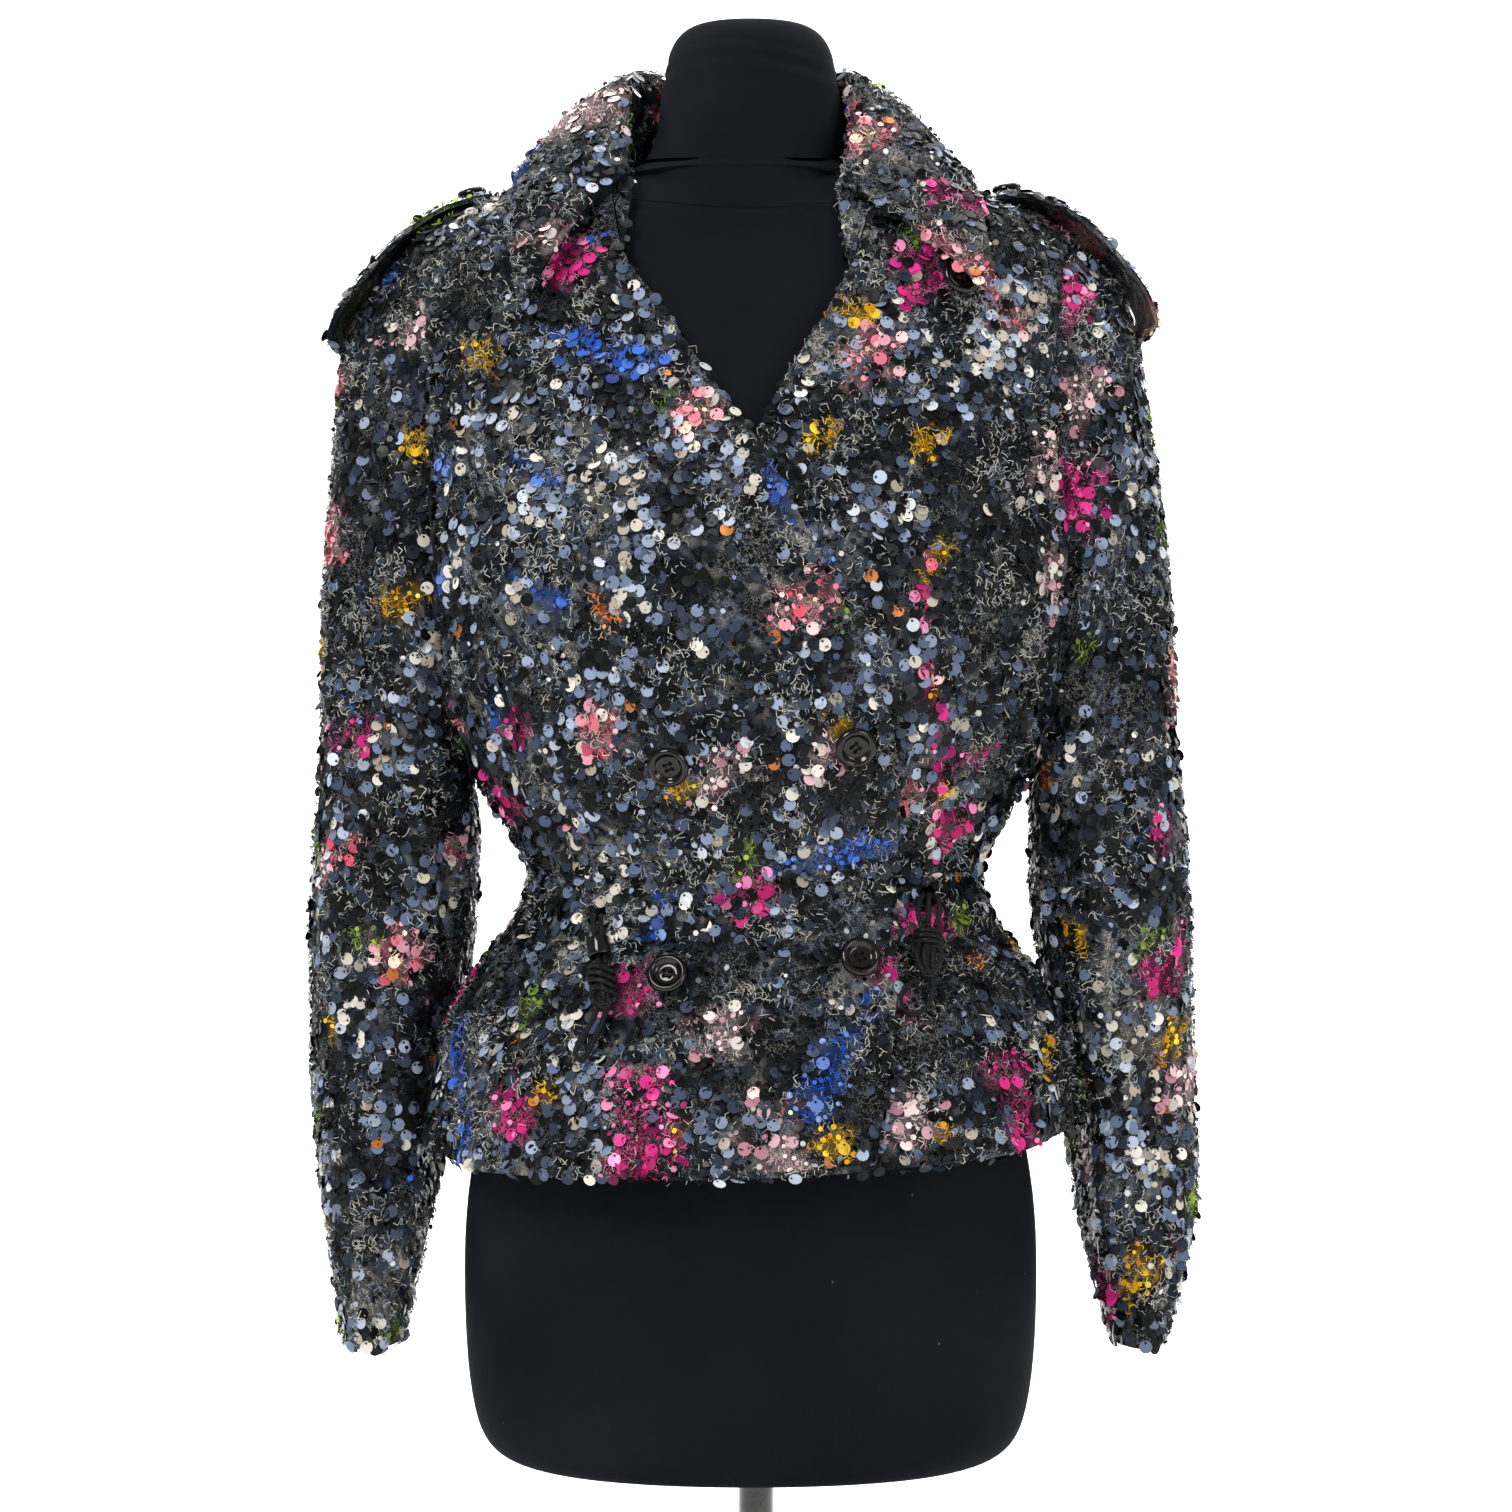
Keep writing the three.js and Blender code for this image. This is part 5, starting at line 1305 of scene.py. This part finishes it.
def surface_samples(name, density, rng):
    """Points strewn evenly over a cloth piece's face side, with their normals."""
    shell, group = _shells[name]
    mesh = shell.data
    triangles = mesh_triangles(mesh)
    places = coordinates(mesh)
    normals = np.empty(len(mesh.vertices) * 3)
    mesh.vertices.foreach_get("normal", normals)
    normals = normals.reshape(-1, 3)
    corners = places[triangles]
    sides = np.cross(corners[:, 1] - corners[:, 0], corners[:, 2] - corners[:, 0])
    areas = lengths(sides) / 2
    centres = corners.mean(axis=1)
    line = centre_line(places) if group == "sleeve" else None
    if group == "collar":
        shown = np.ones(len(centres), dtype=bool)
    else:
        away = unit(centres - middle_of(group, centres, line))
        facing = np.einsum("ij,ij->i", sides / np.maximum(2 * areas, 1e-12)[:, None], away)
        shown = facing > FACE_SIDE
    weights = np.where(shown, areas, 0)
    count = int(weights.sum() * density)
    picked = rng.choice(len(weights), count, p=weights / weights.sum())
    a, b = rng.random(count), rng.random(count)
    flip = a + b > 1
    a, b = np.where(flip, 1 - a, a), np.where(flip, 1 - b, b)
    shares = np.column_stack([1 - a - b, a, b])
    points = np.einsum("ij,ijk->ik", shares, corners[picked])
    return points, unit(np.einsum("ij,ijk->ik", shares, normals[triangles[picked]]))


def spread(points, gap):
    """Leaves out points until none is nearer another than gap."""
    tree = KDTree(len(points))
    for i, p in enumerate(points):
        tree.insert(p, i)
    tree.balance()
    kept = np.ones(len(points), dtype=bool)
    for i, p in enumerate(points):
        if kept[i]:
            for _, j, _ in tree.find_range(p, gap):
                if j > i:
                    kept[j] = False
    return kept


def covering_tree():
    """All that can lie over the cloth, as one tree for ray casts."""
    places, faces, start = [], [], 0
    for obj in bpy.context.scene.objects:
        if not obj.name.endswith(("_cloth", "_resin")) or obj.hide_render:
            continue
        mesh = obj.data
        places.extend(tuple(p) for p in coordinates(mesh))
        faces.extend(tuple(int(v) for v in f) for f in mesh_triangles(mesh) + start)
        start += len(mesh.vertices)
    return BVHTree.FromPolygons(places, faces)


CLEAR_OF_CLOTH = 0.0006


def uncovered(points, normals, tree, reach):
    """Where nothing lies close over the cloth."""
    free = np.ones(len(points), dtype=bool)
    for i, (p, n) in enumerate(zip(points, normals)):
        hit = tree.ray_cast(Vector(p) + Vector(n) * CLEAR_OF_CLOTH, Vector(n), reach)
        free[i] = hit[0] is None
    return free


def pattern_places(name, points):
    """Points moved to where their piece was cut from the patterned cloth."""
    moved = points + np.array(PIECE_OFFSETS.get(name, (0.0, 0.0, 0.0)))
    if name.startswith("front"):
        out, low, high, step = PRINCESS_SEAM
        beyond = (np.abs(points[:, 0] - MIDDLE_X) > out) & (points[:, 2] > low) & (points[:, 2] < high)
        moved[beyond, 2] += step
    return moved


def only(wanted, *arrays):
    """Each array's rows that are wanted."""
    return tuple(array[wanted] for array in arrays)


def turned_about(vectors, axes, angles):
    """Vectors turned about unit axes."""
    c, s = np.cos(angles)[:, None], np.sin(angles)[:, None]
    along = np.einsum("ij,ij->i", vectors, axes)[:, None]
    return vectors * c + np.cross(axes, vectors) * s + axes * along * (1 - c)


def hanging(normals, rng, swing):
    """The way down along the cloth, swung at random about its normal."""
    down = np.tile((0.0, 0.0, -1.0), (len(normals), 1))
    down -= normals * np.einsum("ij,ij->i", down, normals)[:, None]
    stray = unit(np.cross(normals, rng.standard_normal(normals.shape)))
    down = np.where(lengths(down)[:, None] > 0.15, down, stray)
    return turned_about(unit(down), normals, swing * rng.standard_normal(len(normals)))


def many_faces(name, corners, tints, uvs=None):
    """One mesh of many separate flat faces. corners is (faces, sides, 3)."""
    count, sides = corners.shape[:2]
    mesh = bpy.data.meshes.new(name)
    mesh.vertices.add(count * sides)
    mesh.vertices.foreach_set("co", corners.ravel())
    mesh.loops.add(count * sides)
    mesh.loops.foreach_set("vertex_index", np.arange(count * sides, dtype=np.int32))
    mesh.polygons.add(count)
    mesh.polygons.foreach_set("loop_start", np.arange(0, count * sides, sides, dtype=np.int32))
    if uvs is not None:
        layer = mesh.uv_layers.new(name="disc")
        layer.data.foreach_set("uv", np.tile(uvs.ravel(), count))
    colour = mesh.color_attributes.new("tint", "FLOAT_COLOR", "POINT")
    colour.data.foreach_set("color", np.repeat(tints, sides, axis=0).ravel())
    mesh.update(calc_edges=True)
    mesh.validate()
    return link(name, mesh)


def flat_discs(name, centres, normals, down, radius, sides, tints):
    """Flat round sequins, each with its hole on the upper side of its own place."""
    across = np.cross(normals, down)
    turns = 2 * math.pi * np.arange(sides) / sides
    rim = (
        centres[:, None, :]
        + radius[:, None, None] * np.cos(turns)[None, :, None] * across[:, None, :]
        - radius[:, None, None] * np.sin(turns)[None, :, None] * down[:, None, :]
    )
    uvs = np.column_stack([0.5 + 0.5 * np.cos(turns), 0.5 + 0.5 * np.sin(turns)])
    return many_faces(name, rim, tints, uvs)


# Samples for each square metre, and how far over the cloth a cover hides them
FLOWER_DENSITY = 2600
DISC_DENSITY, DISC_REACH = 120000, 0.006
CUP_DENSITY, CUP_REACH = 90000, 0.005
THREAD_DENSITY, THREAD_REACH = 165000, 0.005
# Shares of the discs that stand loose, are copper or are black, and of the cups and stitches that are dark
LOOSE, COPPER, BLACK, DULL, DEEP = 0.14, 0.005, 0.16, 0.6, 0.6
# How far each kind swings from hanging straight down, in radians
DISC_SWING, CUP_SWING, STITCH_SWING = 0.9, 2.0, 1.1
DISC_SIDES, CUP_SIDES = 10, 6
_cache = {}


def shared():
    """What the sequins and the threads both need: the tree of covers and the flowers."""
    if not _cache:
        rng = np.random.default_rng(SEED)
        spots, ways = [], []
        for name in CLOTH:
            points, out = surface_samples(name, FLOWER_DENSITY, rng)
            spots.append(pattern_places(name, points))
            ways.append(out)
        _cache["tree"] = covering_tree()
        _cache["flowers"] = strewn_flowers(np.concatenate(spots), np.concatenate(ways), rng)
    return _cache["tree"], _cache["flowers"]


def tint_shell(name, flowers, rng):
    """Stores the pattern's colour on a shell's own points, for the net under the sequins."""
    mesh = _shells[name][0].data
    places = coordinates(mesh)
    tint = pattern(pattern_places(name, places), flowers, rng)[0]
    colour = mesh.color_attributes.new("tint", "FLOAT_COLOR", "POINT")
    colour.data.foreach_set("color", np.column_stack([tint, np.ones(len(tint))]).ravel())


def spots_for(name, density, gap, odds, rng):
    """Places on a piece at least gap apart, thinned by odds, which gives the share that stays at each."""
    points, out = surface_samples(name, density, rng)
    place = pattern_places(name, points)
    points, out, place = only(rng.random(len(points)) < odds(place), points, out, place)
    return only(spread(points, gap), points, out, place)


def sew_discs(name, tree, flowers, rng):
    """Disc sequins that hang like scales, some loose, a few copper or black."""
    size = sizes()
    points, out, place = spots_for(
        name, DISC_DENSITY, size.disc_spacing, lambda place: 0.05 + 0.95 * disc_zone(place), rng
    )
    tint, in_flower, floss = pattern(place, flowers, rng)
    down = hanging(out, rng, DISC_SWING)
    radius = size.disc / 2 * (0.93 + 0.12 * rng.random(len(points)))
    centres = points + down * (radius * 0.55)[:, None]
    free = uncovered(points, out, tree, DISC_REACH) & uncovered(centres, out, tree, DISC_REACH)
    free &= rng.random(len(points)) < 0.9 - 0.85 * floss
    out, down, radius, centres, tint, in_flower = only(free, out, down, radius, centres, tint, in_flower)
    count = len(centres)
    lean = 0.06 + 0.14 * np.abs(rng.standard_normal(count))
    loose = rng.random(count) < LOOSE
    lean = np.where(loose, 0.35 + 0.6 * rng.random(count), lean)
    side = np.cross(out, down)
    down, face = (turned_about(way, side, -lean) for way in (down, out))
    face = turned_about(face, down, 0.16 * rng.standard_normal(count))
    centres += out * (0.0005 + 0.0012 * rng.random(count))[:, None]
    chance = rng.random(count)
    copper = rng.random(count) < COPPER
    tint[copper], chance[copper] = linear(0xB4703A), 1.0
    tint[~in_flower & (rng.random(count) < BLACK)] = linear(0x040506)
    tints = np.column_stack([tint, chance])
    discs = flat_discs(f"{name}_discs", centres, face, down, radius, DISC_SIDES, tints)
    settle(discs, material("disc"), "cloth")


def sew_cups(name, tree, flowers, rng):
    """Cup sequins between the discs, turned every way."""
    size = sizes()
    points, out, place = spots_for(
        name, CUP_DENSITY, size.cup_spacing, lambda place: 0.8 - 0.45 * disc_zone(place), rng
    )
    points, out, place = only(uncovered(points, out, tree, CUP_REACH), points, out, place)
    tint, in_flower, _ = pattern(place, flowers, rng)
    count = len(points)
    tint[~in_flower & (rng.random(count) < DULL)] *= 0.08
    down = hanging(out, rng, CUP_SWING)
    side = np.cross(out, down)
    lean = 0.45 * np.abs(rng.standard_normal(count))
    face, down = (turned_about(way, side, -lean) for way in (out, down))
    radius = size.cup / 2 * (0.75 + 0.5 * rng.random(count))
    lift = 0.0004 + 0.0008 * rng.random(count)
    centres = points + out * lift[:, None] + down * radius[:, None] * 0.5
    tints = np.column_stack([tint, rng.random(count)])
    cups = flat_discs(f"{name}_cups", centres, face, down, radius, CUP_SIDES, tints)
    settle(cups, material("cup"), "cloth")


class JACKET_OT_sequins(bpy.types.Operator):
    """Sews the disc and cup sequins on to the cloth"""

    bl_idname = "jacket.sequins"
    bl_label = "Sequins"

    def execute(self, context):
        tree, flowers = shared()
        rng = np.random.default_rng(SEED + 1)
        for name in CLOTH:
            tint_shell(name, flowers, rng)
            sew_discs(name, tree, flowers, rng)
            sew_cups(name, tree, flowers, rng)
        return {"FINISHED"}


# The size and seed of the lumps in which stitches gather and are pale
SCRIBBLE = (0.022, 31)
PALE = (0xC9C4B4, 0xD8D2C0, 0x9FA6AC, 0x6C7880, 0xAAB4B8, 0xE0DBCB)
DARK = (0x060A0B, 0x0C1413, 0x121A20, 0x050608)


def stitch_floss(name, tree, flowers, rng):
    """Short bowed stitches of floss, each of two flat strips, thickest where the pattern is floss."""
    size = sizes()
    points, out = surface_samples(name, THREAD_DENSITY, rng)
    place = pattern_places(name, points)
    tint, in_flower, floss = pattern(place, flowers, rng)
    scribble = 0.5 + 0.9 * lattice_noise(place, *SCRIBBLE)
    wanted = rng.random(len(points)) < np.maximum(0.18 + 0.62 * scribble, 1.3 * floss)
    free = wanted.copy()
    free[wanted] = uncovered(points[wanted], out[wanted], tree, THREAD_REACH)
    points, out, place, tint, in_flower, floss = only(free, points, out, place, tint, in_flower, floss)
    count = len(points)
    light = 0.42 + 1.0 * lattice_noise(place, *SCRIBBLE)
    cream = ~in_flower & (rng.random(count) < light)
    dark = ~in_flower & ~cream & (rng.random(count) < DEEP)
    tint[cream] = palette(PALE)[rng.integers(0, len(PALE), cream.sum())] * 0.85
    tint[dark] = palette(DARK)[rng.integers(0, len(DARK), dark.sum())]
    way = hanging(out, rng, STITCH_SWING)
    side = np.cross(out, way)
    long = size.stitch * (0.45 + 0.9 * rng.random(count))
    bow = 0.28 * long * rng.standard_normal(count)
    over = rng.random(count) < 0.4 + 0.4 * floss
    rise = 0.0002 + 0.0009 * rng.random(count) + np.where(over, 0.0013, 0)
    ends = []
    for share, lift in ((-0.5, 0.0), (0.0, 1.0), (0.5, 0.0)):
        curve = bow * (1 - (2 * share) ** 2)
        height = 0.0002 + rise * lift + np.where(over, 0.0006, 0)
        ends.append(points + way * (long * share)[:, None] + side * curve[:, None] + out * height[:, None])
    strips = []
    for a, b in zip(ends, ends[1:]):
        wide = unit(np.cross(out, unit(b - a))) * (size.thread / 2)
        strips.append(np.stack([a - wide, b - wide, b + wide, a + wide], axis=1))
    corners = np.concatenate(strips)
    if faces_in(corners, np.concatenate([out, out])):
        corners = corners[:, ::-1]
    colour = np.column_stack([tint, np.ones(count)])
    stitches = many_faces(f"{name}_floss", np.ascontiguousarray(corners), np.concatenate([colour, colour]))
    settle(stitches, material("thread"), "cloth")


def faces_in(corners, out):
    """Whether faces point into the cloth."""
    sides = np.cross(corners[:, 1] - corners[:, 0], corners[:, 2] - corners[:, 0])
    return float(np.einsum("ij,ij->i", sides, out).sum()) < 0


class JACKET_OT_threads(bpy.types.Operator):
    """Embroiders the cloth with short stitches of floss"""

    bl_idname = "jacket.threads"
    bl_label = "Threads"

    def execute(self, context):
        tree, flowers = shared()
        rng = np.random.default_rng(SEED + 2)
        for name in CLOTH:
            stitch_floss(name, tree, flowers, rng)
        return {"FINISHED"}


OPERATORS = (
    JACKET_OT_stage,
    JACKET_OT_cords,
    JACKET_OT_form,
    JACKET_OT_cloth,
    JACKET_OT_buttons,
    JACKET_OT_sequins,
    JACKET_OT_threads,
)


class JACKET_PT_panel(bpy.types.Panel):
    """Shows a button for each step and the jacket's sizes and colours"""

    bl_idname = "JACKET_PT_panel"
    bl_label = "Jacket"
    bl_space_type = "VIEW_3D"
    bl_region_type = "UI"
    bl_category = "Jacket"

    def draw(self, context):
        for operator in OPERATORS:
            self.layout.operator(operator.bl_idname)
        for group in (context.scene.jacket_sizes, context.scene.jacket_colours):
            for name in group.bl_rna.properties.keys():
                if name not in ("rna_type", "name"):
                    self.layout.prop(group, name)


CLASSES = (JacketSizes, JacketColours, *OPERATORS, JACKET_PT_panel)


def register():
    for made in CLASSES:
        bpy.utils.register_class(made)
    bpy.types.Scene.jacket_sizes = PointerProperty(type=JacketSizes)
    bpy.types.Scene.jacket_colours = PointerProperty(type=JacketColours)


def unregister():
    del bpy.types.Scene.jacket_sizes
    del bpy.types.Scene.jacket_colours
    for made in reversed(CLASSES):
        bpy.utils.unregister_class(made)


def main():
    register()
    bpy.ops.jacket.stage()
    bpy.ops.jacket.cords()
    bpy.ops.jacket.form()
    bpy.ops.jacket.cloth()
    bpy.ops.jacket.buttons()
    bpy.ops.jacket.sequins()
    bpy.ops.jacket.threads()


if __name__ == "__main__":
    main()
